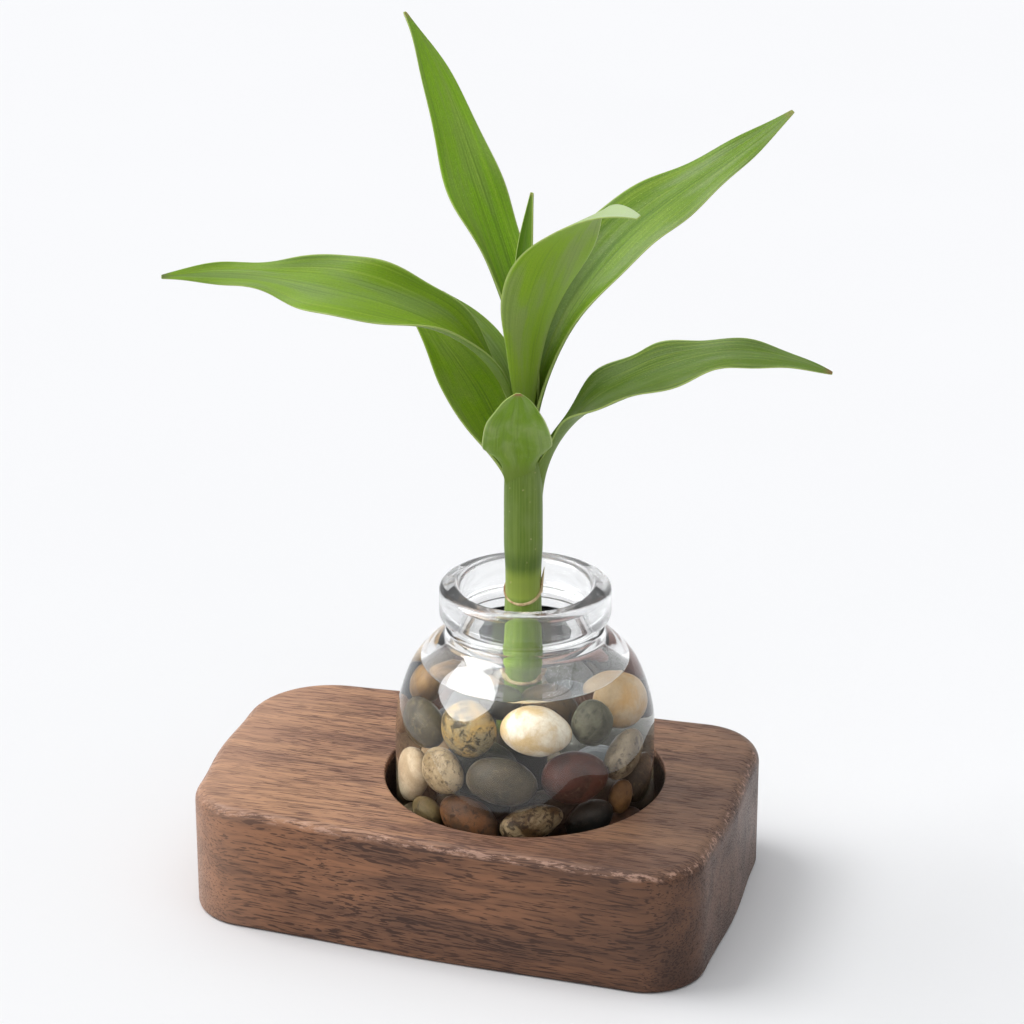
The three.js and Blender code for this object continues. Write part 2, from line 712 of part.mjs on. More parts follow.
// closed free blade from station `first` of the spine to its tip, both faces split alike
function leafBlade(leaf, spine, first) {
  const positions = [];
  const indices = [];
  const columns = LEAF_STRIPS + 1;
  const { sections } = leaf;
  const faceSize = (sections + 1) * columns;
  [LEAF_THICKNESS / 2, -LEAF_THICKNESS / 2].forEach((offset) => {
    for (let i = 0; i <= sections; i += 1) {
      const station = spine[Math.round(first + ((SPINE_STEPS - first) * i) / sections)];
      for (let j = 0; j < columns; j += 1) {
        const u = -1 + (2 * j) / LEAF_STRIPS;
        const point = leafPoint(leaf, station, u, offset);
        positions.push(point.x, point.y, point.z);
      }
    }
  });
  for (let i = 0; i < sections; i += 1) {
    for (let j = 0; j < LEAF_STRIPS; j += 1) {
      const a = i * columns + j;
      const b = a + 1;
      const c = a + columns;
      const d = c + 1;
      indices.push(a, b, d, a, d, c);
      indices.push(faceSize + a, faceSize + d, faceSize + b);
      indices.push(faceSize + a, faceSize + c, faceSize + d);
    }
    const left = i * columns;
    const right = left + LEAF_STRIPS;
    indices.push(left, left + columns, faceSize + left + columns);
    indices.push(left, faceSize + left + columns, faceSize + left);
    indices.push(right, faceSize + right + columns, right + columns);
    indices.push(right, faceSize + right, faceSize + right + columns);
  }
  for (let j = 0; j < LEAF_STRIPS; j += 1) {
    const tip = sections * columns + j;
    indices.push(j, faceSize + j, faceSize + j + 1);
    indices.push(j, faceSize + j + 1, j + 1);
    indices.push(tip, faceSize + tip + 1, faceSize + tip);
    indices.push(tip, tip + 1, faceSize + tip + 1);
  }
  const geometry = new THREE.BufferGeometry();
  geometry.setAttribute('position', new THREE.Float32BufferAttribute(positions, 3));
  geometry.setIndex(indices);
  return geometry;
}

// the leaf's sheath, from its start to station `last`: the arched section filled to its chord
function leafSheath(leaf, spine, last) {
  const rings = [];
  const steps = 3;
  for (let i = 0; i <= steps; i += 1) {
    const station = spine[Math.round((last * i) / steps)];
    const ring = [];
    for (let j = 0; j <= LEAF_STRIPS; j += 1) {
      const u = 1 - (2 * j) / LEAF_STRIPS;
      ring.push(leafPoint(leaf, station, u, -LEAF_THICKNESS / 2));
    }
    rings.push(ring);
  }
  return loft(rings);
}

// ---------------------------------------------------------------- stem

// the largest closed body of a solid, which leaves out hollows that joining has sealed
function outerBody(solid) {
  const bodies = solid.decompose();
  bodies.sort((one, other) => other.volume() - one.volume());
  return bodies[0];
}

// ragged ring left by a dead leaf, dipping at the front
function scarRing(z, dip, raise) {
  const rings = [];
  const sides = STEM_SIDES;
  const half = 0.9;
  for (let i = 0; i <= sides; i += 1) {
    const angle = (2 * Math.PI * i) / sides;
    const front = 0.5 - 0.5 * Math.sin(angle);
    const middle = z - dip * front * front + 0.25 * Math.sin(5 * angle);
    rings.push([STEM_RADIUS + raise, middle - half, middle + half * 0.6, angle]);
  }
  const positions = [];
  const indices = [];
  for (let i = 0; i < sides; i += 1) {
    const [radius, low, high, angle] = rings[i];
    const section = [[STEM_RADIUS - 1, low], [radius, low], [radius, high], [STEM_RADIUS - 1, high]];
    section.forEach(([r, height]) => {
      positions.push(STEM_CENTRE_X + r * Math.cos(angle), r * Math.sin(angle), height);
    });
    const a = i * 4;
    const b = ((i + 1) % sides) * 4;
    for (let j = 0; j < 4; j += 1) {
      const k = (j + 1) % 4;
      indices.push(a + j, b + j, b + k, a + j, b + k, a + k);
    }
  }
  const geometry = new THREE.BufferGeometry();
  geometry.setAttribute('position', new THREE.Float32BufferAttribute(positions, 3));
  geometry.setIndex(indices);
  return toSolid(geometry);
}

function buildStem(sheaths) {
  const profile = [
    [0, STEM_FOOT_Z],
    [STEM_RADIUS - 0.8, STEM_FOOT_Z],
    [STEM_RADIUS, STEM_FOOT_Z + 1],
    [STEM_RADIUS, LOWER_SCAR_Z - 6],
    [STEM_RADIUS + 0.1, LOWER_SCAR_Z],
    [STEM_RADIUS - 0.1, LOWER_SCAR_Z + 6],
    [STEM_RADIUS, UPPER_SCAR_Z - 8],
    [STEM_RADIUS + 0.1, UPPER_SCAR_Z],
    [STEM_RADIUS - 0.1, UPPER_SCAR_Z + 9],
    [STEM_RADIUS, STEM_SHOULDER_Z],
    [4.2, STEM_SHOULDER_Z + 12],
    [3.0, STEM_TOP_Z - 8],
    [2.0, STEM_TOP_Z],
    [0, STEM_TOP_Z],
  ];
  let stem = toSolid(lathe(profile, STEM_SIDES)).translate([STEM_CENTRE_X, 0, 0]);
  stem = stem.add(scarRing(UPPER_SCAR_Z + 1, 2.8, 0.4));
  stem = stem.add(scarRing(LOWER_SCAR_Z, 0.8, 0.5));
  const sliver = new THREE.ConeGeometry(0.9, 8.5, 5);
  sliver.rotateX(Math.PI / 2);
  sliver.scale(0.7, 1.2, 1);
  sliver.translate(STEM_RADIUS + STEM_CENTRE_X + 0.3, -0.4, UPPER_SCAR_Z + 3.6);
  stem = stem.add(toSolid(sliver));
  sheaths.forEach((sheath) => {
    stem = outerBody(stem.add(toSolid(sheath)));
  });
  return toGeometry(outerBody(stem));
}

// ---------------------------------------------------------------- the whole part

const jarAndPlant = new THREE.Group();
jarAndPlant.name = 'jar_and_plant';
jarAndPlant.position.set(JAR_CENTRE_X, JAR_CENTRE_Y, 0);
jarAndPlant.rotation.z = JAR_TURN * RAD;

jarAndPlant.add(makeMesh('glass_jar', buildJar(), 0xe9eff0, 0.05));
jarAndPlant.add(makeMesh('water', buildWater(), 0xdfe9e8, 0.05));
buildPebbles().forEach((pebble) => jarAndPlant.add(pebble));

const sheaths = [];
Object.entries(LEAVES).forEach(([name, leaf]) => {
  const spine = leafSpine(leaf, SPINE_STEPS);
  const sheathEnd = Math.round(leaf.neck * SPINE_STEPS);
  const gapSteps = Math.ceil((LEAF_GAP * SPINE_STEPS) / leaf.length);
  sheaths.push(leafSheath(leaf, spine, sheathEnd));
  jarAndPlant.add(makeMesh(name, leafBlade(leaf, spine, sheathEnd + gapSteps), leaf.colour, 0.5));
});
jarAndPlant.add(makeMesh('stem', buildStem(sheaths), 0x6f8f4e, 0.5));

const luckyBamboo = new THREE.Group();
luckyBamboo.name = 'lucky_bamboo';
luckyBamboo.add(makeMesh('wood_base', buildBlock(), 0x7b5b49, 0.55));
luckyBamboo.add(jarAndPlant);

export default luckyBamboo;
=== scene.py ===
import math

import bpy
from mathutils import Matrix, Vector


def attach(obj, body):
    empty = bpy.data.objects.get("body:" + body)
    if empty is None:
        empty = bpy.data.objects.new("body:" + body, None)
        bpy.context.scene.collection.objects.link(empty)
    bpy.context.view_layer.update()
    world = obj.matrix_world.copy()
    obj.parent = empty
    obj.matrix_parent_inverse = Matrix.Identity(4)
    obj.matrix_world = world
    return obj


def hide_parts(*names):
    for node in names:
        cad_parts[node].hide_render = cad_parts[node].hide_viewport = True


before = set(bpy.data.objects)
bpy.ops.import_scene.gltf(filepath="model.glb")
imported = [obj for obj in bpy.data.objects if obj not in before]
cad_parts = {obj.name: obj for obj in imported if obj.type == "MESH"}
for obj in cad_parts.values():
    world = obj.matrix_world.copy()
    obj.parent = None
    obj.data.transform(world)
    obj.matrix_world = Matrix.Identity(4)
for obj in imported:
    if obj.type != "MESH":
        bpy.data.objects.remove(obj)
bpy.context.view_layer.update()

# ------------------------------------------------------------------ sizes, in millimetres

MM = 0.001
JAR_X = 13.4
JAR_Y = 2.6
JAR_TURN = math.radians(15.5)

BLOCK_HEIGHT = 35.0
BLOCK_TOP_ROUND = 4.0
BLOCK_FOOT_ROUND = 1.2
BLOCK_CORNERS = [(-70.4, -39.9, 15), (71.6, -47.4, 17), (72.4, 47.6, 18), (-73.4, 43.6, 24)]
BLOCK_SIDE_BOW = 1.2
POCKET_RADIUS = 38.0
POCKET_DEPTH = 22.0
POCKET_EASE = 0.7

JAR_FLOOR_Z = 13.3
JAR_SIDES = 128
WATER_LEVEL_Z = 67.0
WATER_EDGE_Z = 67.9
NECK_Z = 78.0
RIM_PLAIN_SHARE = 0.14
GLASS_INDEX = 1.5
WATER_INDEX = 1.33

STEM_X = -0.6
UPPER_SCAR_Z = 89.3
UPPER_SCAR_TILT = math.radians(28)

FOCAL_PX = 3500
PICTURE_PX = 1024
SENSOR_MM = 36

# from the jar's frame, which has its axis at the origin and -Y towards the viewer, to the part's frame
JAR_TO_PART = Matrix.Translation((JAR_X * MM, JAR_Y * MM, 0)) @ Matrix.Rotation(JAR_TURN, 4, "Z")


def mm(x, y, z):
    return Vector((x * MM, y * MM, z * MM))


# ------------------------------------------------------------------ modelling tools

def start_fresh():
    if bpy.context.object and bpy.context.object.mode != "OBJECT":
        bpy.ops.object.mode_set(mode="OBJECT")
    bpy.ops.object.select_all(action="DESELECT")


def pick(obj):
    start_fresh()
    obj.select_set(True)
    bpy.context.view_layer.objects.active = obj


def edit(obj):
    pick(obj)
    bpy.ops.object.mode_set(mode="EDIT")
    bpy.ops.mesh.select_all(action="DESELECT")


def choose(obj, kind, wanted):
    """Selects the vertices or edges of the piece in edit mode for which `wanted` is true."""
    bpy.ops.mesh.select_all(action="DESELECT")
    bpy.ops.mesh.select_mode(type=kind)
    bpy.ops.object.mode_set(mode="OBJECT")
    mesh = obj.data
    if kind == "VERT":
        for vertex in mesh.vertices:
            vertex.select = wanted(vertex.co)
    else:
        for edge in mesh.edges:
            edge.select = wanted(*(mesh.vertices[i].co for i in edge.vertices))
    bpy.ops.object.mode_set(mode="EDIT")


def finish_modifiers(obj):
    pick(obj)
    for modifier in list(obj.modifiers):
        bpy.ops.object.modifier_apply(modifier=modifier.name)


def subdivide_smooth(obj, levels):
    modifier = obj.modifiers.new("Rounding", "SUBSURF")
    modifier.levels = levels
    modifier.render_levels = levels
    finish_modifiers(obj)


def resize_all(obj, factors, centre=(0, 0, 0)):
    edit(obj)
    bpy.ops.mesh.select_all(action="SELECT")
    bpy.ops.transform.resize(value=factors, center_override=centre)
    bpy.ops.object.mode_set(mode="OBJECT")


def make_uneven(obj, texture_name, grain, strength, mid_level):
    """Moves the surface in and out by soft clouds, with their grain and strength in mm."""
    texture = bpy.data.textures.get(texture_name) or bpy.data.textures.new(texture_name, "CLOUDS")
    texture.noise_scale = grain * MM
    texture.noise_depth = 1
    modifier = obj.modifiers.new("Unevenness", "DISPLACE")
    modifier.texture = texture
    modifier.texture_coords = "LOCAL"
    modifier.strength = strength * MM
    modifier.mid_level = mid_level
    finish_modifiers(obj)


def smooth(obj, angle):
    pick(obj)
    bpy.ops.object.shade_smooth_by_angle(angle=math.radians(angle))


def into_part_frame(obj):
    """Puts the place of a piece made in the jar's frame into its mesh."""
    obj.data.transform(JAR_TO_PART @ obj.matrix_world)
    obj.matrix_world = Matrix.Identity(4)


def belongs(obj, slot_name, *nodes):
    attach(obj, "root")
    if nodes:
        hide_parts(*nodes)


def turned(name, profile, sides):
    """A piece turned about the jar's axis from (radius, z) pairs in mm, closed at both ends."""
    start_fresh()
    radius, z = profile[0]
    bpy.ops.mesh.primitive_circle_add(
        vertices=sides, radius=radius * MM, fill_type="NGON", location=(0, 0, z * MM))
    obj = bpy.context.object
    obj.name = name
    bpy.ops.object.transform_apply(location=True)
    edit(obj)
    bpy.ops.mesh.select_all(action="SELECT")
    for next_radius, next_z in profile[1:]:
        bpy.ops.mesh.extrude_region_move(TRANSFORM_OT_translate={"value": (0, 0, (next_z - z) * MM)})
        scale = next_radius / radius
        bpy.ops.transform.resize(value=(scale, scale, 1), center_override=(0, 0, next_z * MM))
        radius, z = next_radius, next_z
    bpy.ops.mesh.select_all(action="SELECT")
    bpy.ops.mesh.normals_make_consistent(inside=False)
    bpy.ops.object.mode_set(mode="OBJECT")
    return obj


def arc(centre_radius, centre_z, radius, from_deg, to_deg, steps):
    points = []
    for i in range(steps + 1):
        angle = math.radians(from_deg + (to_deg - from_deg) * i / steps)
        points.append((centre_radius + radius * math.cos(angle), centre_z + radius * math.sin(angle)))
    return points


def knots(values, s):
    """A smooth curve through equally spaced values, s from 0 to 1."""
    last = len(values) - 1
    x = s * last
    i = min(max(int(x), 0), last - 1)
    t = x - i
    p1, p2 = values[i], values[i + 1]
    p0 = values[i - 1] if i > 0 else 2 * p1 - p2
    p3 = values[i + 2] if i + 2 <= last else 2 * p2 - p1
    linear = (p2 - p0) * t
    square = (2 * p0 - 5 * p1 + 4 * p2 - p3) * t * t
    cube = (3 * p1 - p0 - 3 * p2 + p3) * t * t * t
    return 0.5 * (2 * p1 + linear + square + cube)


# ------------------------------------------------------------------ material tools

def srgb(red, green, blue):
    """A colour from its 0 to 255 screen values."""
    def linear(c):
        c /= 255
        return c / 12.92 if c <= 0.04045 else ((c + 0.055) / 1.055) ** 2.4
    return (linear(red), linear(green), linear(blue), 1.0)


class Board:
    """Adds nodes to one material or group and wires them."""

    def __init__(self, tree):
        self.tree = tree

    def node(self, kind, inputs=None, **settings):
        made = self.tree.nodes.new(kind)
        for key, value in settings.items():
            setattr(made, key, value)
        for key, value in (inputs or {}).items():
            if isinstance(value, bpy.types.NodeSocket):
                self.tree.links.new(value, made.inputs[key])
            else:
                made.inputs[key].default_value = value
        return made

    def link(self, source, target):
        self.tree.links.new(source, target)

    def math(self, operation, a, b=0.0, clamp=False):
        made = self.node("ShaderNodeMath", {0: a, 1: b}, operation=operation, use_clamp=clamp)
        return made.outputs[0]

    def mix(self, factor, a, b):
        made = self.node("ShaderNodeMix", data_type="RGBA")
        for key, value in ((0, factor), (6, a), (7, b)):
            if isinstance(value, bpy.types.NodeSocket):
                self.link(value, made.inputs[key])
            else:
                made.inputs[key].default_value = value
        return made.outputs[2]

    def tint(self, base, mask, share, towards):
        """Takes a colour a share of the way towards another where the mask is 1."""
        return self.mix(self.math("MULTIPLY", mask, share), base, towards)

    def bump(self, shader, height, strength, distance):
        made = self.node("ShaderNodeBump", {"Height": height, "Strength": strength, "Distance": distance})
        self.link(made.outputs[0], shader.inputs["Normal"])

    def ramp(self, value, low, high, to_low=0.0, to_high=1.0):
        made = self.node("ShaderNodeMapRange", {"Value": value, "From Min": low, "From Max": high,
                                                "To Min": to_low, "To Max": to_high})
        made.clamp = True
        made.interpolation_type = "SMOOTHSTEP"
        return made.outputs[0]

    def noise(self, vector, scale, detail=3.0, roughness=0.55, distortion=0.0):
        made = self.node("ShaderNodeTexNoise", {"Vector": vector, "Scale": scale, "Detail": detail,
                                                "Roughness": roughness, "Distortion": distortion})
        return made.outputs["Fac"]

    def stretched(self, vector, scale, location=(0, 0, 0)):
        made = self.node("ShaderNodeMapping", {"Vector": vector, "Scale": scale, "Location": location})
        return made.outputs[0]


def new_material(name, roughness=0.5):
    material = bpy.data.materials.new(name)
    material.use_nodes = True
    board = Board(material.node_tree)
    shader = material.node_tree.nodes["Principled BSDF"]
    shader.inputs["Roughness"].default_value = roughness
    return material, board, shader


def new_group(name, inputs, outputs):
    """A shader node group, its inputs given as (name, type, value) and its outputs as (name, type)."""
    tree = bpy.data.node_groups.new(name, "ShaderNodeTree")
    for label, kind, value in inputs:
        socket = tree.interface.new_socket(name=label, in_out="INPUT", socket_type=kind)
        if value is not None:
            socket.default_value = value
    for label, kind in outputs:
        tree.interface.new_socket(name=label, in_out="OUTPUT", socket_type=kind)
    board = Board(tree)
    entry = board.node("NodeGroupInput").outputs
    leave = board.node("NodeGroupOutput").inputs
    return tree, board, entry, leave


FLOAT = "NodeSocketFloat"
VECTOR = "NodeSocketVector"


def build_grain_group():
    """Wood grain with its fibres along X: broad figure, short dark strokes and fine hairs."""
    tree, b, entry, leave = new_group(
        "wood_grain",
        [("Place", VECTOR, None)],
        [("Figure", FLOAT), ("Stroke", FLOAT), ("Hair", FLOAT), ("Height", FLOAT)],
    )
    place = entry["Place"]
    sway = b.noise(b.stretched(place, (16, 60, 60)), 1.0, 2.0)
    lifted = b.node("ShaderNodeCombineXYZ", {0: 0.0, 1: b.math("MULTIPLY", sway, 0.006),
                                             2: b.math("MULTIPLY", sway, 0.006)}).outputs[0]
    bent = b.node("ShaderNodeVectorMath", {0: place, 1: lifted}, operation="ADD").outputs[0]
    figure = b.noise(b.stretched(bent, (13, 95, 80)), 1.0, 4.0, 0.6, 0.6)
    b.link(b.ramp(figure, 0.36, 0.66), leave["Figure"])
    strokes = b.noise(b.stretched(bent, (150, 2300, 2100)), 1.0, 2.0, 0.5, 0.2)
    crowd = b.math("MULTIPLY", b.math("SUBTRACT", figure, 0.5), 0.35)
    stroke = b.ramp(b.math("ADD", strokes, crowd), 0.52, 0.6)
    b.link(stroke, leave["Stroke"])
    hairs = b.noise(b.stretched(bent, (55, 780, 700)), 1.0, 2.5, 0.6)
    hair = b.ramp(hairs, 0.42, 0.66)
    b.link(hair, leave["Hair"])
    height = b.math("SUBTRACT", b.math("MULTIPLY", hair, -0.25), stroke)
    b.link(height, leave["Height"])
    return tree


def build_fleck_group():
    """Stone speckle: soft clouds, small flecks and fine dust, each as a mask."""
    tree, b, entry, leave = new_group(
        "stone_fleck",
        [("Place", VECTOR, None), ("Fleck Size", FLOAT, 1.0), ("Fleck Share", FLOAT, 0.5)],
        [("Cloud", FLOAT), ("Fleck", FLOAT), ("Dust", FLOAT)],
    )
    place = entry["Place"]
    cloud = b.noise(place, 130.0, 4.0, 0.6, 0.6)
    b.link(b.ramp(cloud, 0.38, 0.62), leave["Cloud"])
    scale = b.math("DIVIDE", 470.0, entry["Fleck Size"])
    fleck = b.node("ShaderNodeTexNoise", {"Vector": place, "Scale": scale, "Detail": 3.5, "Roughness": 0.68,
                                          "Distortion": 0.5})
    edge = b.math("SUBTRACT", 0.69, b.math("MULTIPLY", entry["Fleck Share"], 0.32))
    lifted = b.math("SUBTRACT", fleck.outputs["Fac"], edge)
    b.link(b.math("MULTIPLY", lifted, 11.0, clamp=True), leave["Fleck"])
    dust = b.noise(place, 1100.0, 5.0, 0.8)
    b.link(b.ramp(dust, 0.38, 0.7), leave["Dust"])
    return tree


def build_vein_group():
    """Lengthwise leaf marks from the leaf's own UV: across in x, along in y."""
    tree, b, entry, leave = new_group(
        "leaf_veins",
        [("Along", VECTOR, None), ("Seed", FLOAT, 0.0), ("Tip From", FLOAT, 1.0)],
        [(label, FLOAT) for label in
         ("Dust", "Line", "Light", "Grain", "Speck", "Margin", "Tip", "Sheath", "Height")],
    )
    parts = b.node("ShaderNodeSeparateXYZ", {0: entry["Along"]})
    across, along = parts.outputs[0], parts.outputs[1]
    shifted = b.node("ShaderNodeCombineXYZ", {0: across, 1: along, 2: entry["Seed"]}).outputs[0]
    soft = b.noise(b.stretched(shifted, (3.4, 3.6, 1)), 1.0, 2.5, 0.55, 0.3)
    grainy = b.noise(b.stretched(shifted, (60, 150, 1)), 1.0, 2.0, 0.7)
    dusty = b.math("ADD", soft, b.math("MULTIPLY", b.math("SUBTRACT", grainy, 0.5), 0.16))
    b.link(b.ramp(dusty, 0.42, 0.64), leave["Dust"])
    lines = b.noise(b.stretched(shifted, (26, 1.7, 1)), 1.0, 2.5, 0.65, 0.2)
    b.link(b.ramp(lines, 0.5, 0.66), leave["Line"])
    bright = b.noise(b.stretched(shifted, (33, 2.4, 1), (5, 7, 3)), 1.0, 2.5, 0.65, 0.2)
    b.link(b.ramp(bright, 0.52, 0.68), leave["Light"])
    grain = b.noise(b.stretched(shifted, (110, 260, 1)), 1.0, 3.0, 0.75)
    b.link(b.ramp(grain, 0.4, 0.62), leave["Grain"])
    specks = b.noise(b.stretched(shifted, (90, 480, 1)), 1.0, 0.0, 0.5)
    b.link(b.ramp(specks, 0.74, 0.82), leave["Speck"])
    off_middle = b.math("ABSOLUTE", b.math("SUBTRACT", across, 0.5))
    b.link(b.ramp(off_middle, 0.47, 0.499), leave["Margin"])
    b.link(b.ramp(along, entry["Tip From"], 1.0), leave["Tip"])
    b.link(b.ramp(along, 0.27, 0.11), leave["Sheath"])
    fine = b.noise(b.stretched(shifted, (75, 2.0, 1)), 1.0, 1.0, 0.5)
    b.link(b.math("SUBTRACT", b.math("MULTIPLY", fine, 0.6), b.math("MULTIPLY", lines, 0.8)), leave["Height"])
    return tree


GRAIN = build_grain_group()
FLECK = build_fleck_group()
VEINS = build_vein_group()


def walnut_material():
    material, b, shader = new_material("oiled_walnut", 0.42)
    place = b.node("ShaderNodeTexCoord").outputs["Object"]
    grain = b.node("ShaderNodeGroup", {"Place": place}, node_tree=GRAIN).outputs
    normal = b.node("ShaderNodeNewGeometry").outputs["Normal"]
    # painted light: faces turned up are painted paler, and their strokes too, standing in for the overhead
    # light and sheen on the top
    painted_top_light = b.ramp(b.node("ShaderNodeSeparateXYZ", {0: normal}).outputs[2], 0.35, 0.95)
    plain = b.mix(painted_top_light, srgb(150, 104, 75), srgb(180, 135, 102))
    shade = b.mix(painted_top_light, srgb(108, 76, 58), srgb(146, 106, 83))
    colour = b.mix(grain["Figure"], plain, shade)
    colour = b.tint(colour, grain["Stroke"], 0.8, b.mix(painted_top_light, srgb(52, 35, 31), srgb(84, 58, 51)))
    colour = b.tint(colour, grain["Hair"], 0.5, srgb(84, 57, 45))
    # painted light and shade: the wood is painted darker towards the block's right end, standing in for the
    # shade of the jar and of the side away from the light, and paler towards its left end, standing in for the
    # light from the left
    spot = b.node("ShaderNodeSeparateXYZ", {0: place}).outputs
    height = spot[2]
    top = BLOCK_HEIGHT * MM
    colour = b.mix(b.ramp(spot[0], -0.02, 0.085, 0.0, 0.66), colour, srgb(58, 40, 32))
    colour = b.mix(b.ramp(spot[0], -0.04, -0.075, 0.0, 0.3), colour, srgb(214, 172, 146))
    # hardly any light gets into the pocket
    off_axis = b.node("ShaderNodeVectorMath", {0: place, 1: mm(JAR_X, JAR_Y, 0)}, operation="SUBTRACT")
    flat = b.node("ShaderNodeVectorMath", {0: off_axis.outputs[0], 1: (1, 1, 0)}, operation="MULTIPLY")
    from_axis = b.node("ShaderNodeVectorMath", {0: flat.outputs[0]}, operation="LENGTH").outputs["Value"]
    wall = POCKET_RADIUS * MM
    within = b.ramp(from_axis, wall + 0.6 * MM, wall + 0.1 * MM)
    inside = b.math("MULTIPLY", within, b.ramp(height, top - 0.2 * MM, top - 2.5 * MM))
    colour = b.tint(colour, inside, 0.9, srgb(10, 7, 5))
    # the top rounding is worn paler here and there
    rounding = b.math("MULTIPLY", b.ramp(height, top - 2.8 * MM, top - 1.7 * MM),
                      b.ramp(height, top - 0.4 * MM, top - MM))
    wear = b.ramp(b.noise(b.stretched(place, (190, 700, 700)), 1.0, 5.0, 0.75), 0.5, 0.6)
    colour = b.tint(colour, b.math("MULTIPLY", rounding, wear), 0.5, srgb(204, 164, 143))
    b.link(colour, shader.inputs["Base Color"])
    rough = b.ramp(grain["Stroke"], 0.0, 1.0, 0.38, 0.6)
    b.link(rough, shader.inputs["Roughness"])
    b.bump(shader, grain["Height"], 0.35, 0.2 * MM)
    shader.inputs["Specular IOR Level"].default_value = 0.3
    return material


def clear_material(name, tint, ior, plain_share=0.0):
    """Glass or water that lets plain light through to what stands behind it.

    A face where two clear things meet takes the ratio of their indices. A plain share lets that much of
    the view through unbent, which keeps a thick rim from turning dark.
    """
    material, b, shader = new_material(name, 0.0)
    shader.inputs["Base Color"].default_value = tint
    shader.inputs["IOR"].default_value = ior
    shader.inputs["Transmission Weight"].default_value = 1.0
    see_through = b.node("ShaderNodeBsdfTransparent", {"Color": tint})
    path = b.node("ShaderNodeLightPath")
    share = b.math("MAXIMUM", path.outputs["Is Shadow Ray"], plain_share)
    mixed = b.node("ShaderNodeMixShader", {0: share})
    b.link(shader.outputs[0], mixed.inputs[1])
    b.link(see_through.outputs[0], mixed.inputs[2])
    output = material.node_tree.nodes["Material Output"]
    b.link(mixed.outputs[0], output.inputs["Surface"])
    return material


STEM_GREEN = srgb(106, 130, 40)


def set_living_tissue(shader, scattered, gloss):
    """Light goes a little way into a living leaf or stem."""
    shader.inputs["Subsurface Weight"].default_value = scattered
    shader.inputs["Subsurface Radius"].default_value = (1.2 * MM, 2.0 * MM, 0.4 * MM)
    shader.inputs["Subsurface Scale"].default_value = 1.0
    shader.inputs["Specular IOR Level"].default_value = gloss


def leaf_material(name, vivid, dusty, seed, tip_colour, tip_from, roughness, marks):
    """A living leaf face: vivid green with dusty bands, dark veins, a thin pale margin and a dry tip; on the
    front leaf's upper face the tip colour is a painted sheen over a longer way.
    """
    material, b, shader = new_material(name, roughness)
    uv = b.node("ShaderNodeTexCoord").outputs["UV"]
    values = {"Along": uv, "Seed": seed, "Tip From": tip_from}
    veins = b.node("ShaderNodeGroup", values, node_tree=VEINS).outputs
    colour = b.mix(veins["Dust"], vivid, dusty)
    colour = b.tint(colour, veins["Line"], 0.45 * marks, srgb(66, 98, 18))
    colour = b.tint(colour, veins["Light"], 0.3 * marks, srgb(168, 186, 70))
    colour = b.tint(colour, veins["Grain"], 0.34, srgb(60, 86, 24))
    colour = b.tint(colour, veins["Speck"], 0.4, srgb(190, 204, 120))
    colour = b.tint(colour, veins["Sheath"], 0.92, STEM_GREEN)
    colour = b.tint(colour, veins["Margin"], 0.55, srgb(190, 204, 132))
    colour = b.mix(veins["Tip"], colour, tip_colour)
    b.link(colour, shader.inputs["Base Color"])
    b.bump(shader, veins["Height"], 0.4, 0.4 * MM)
    set_living_tissue(shader, 0.25, 0.3)
    return material


# ------------------------------------------------------------------ wooden block

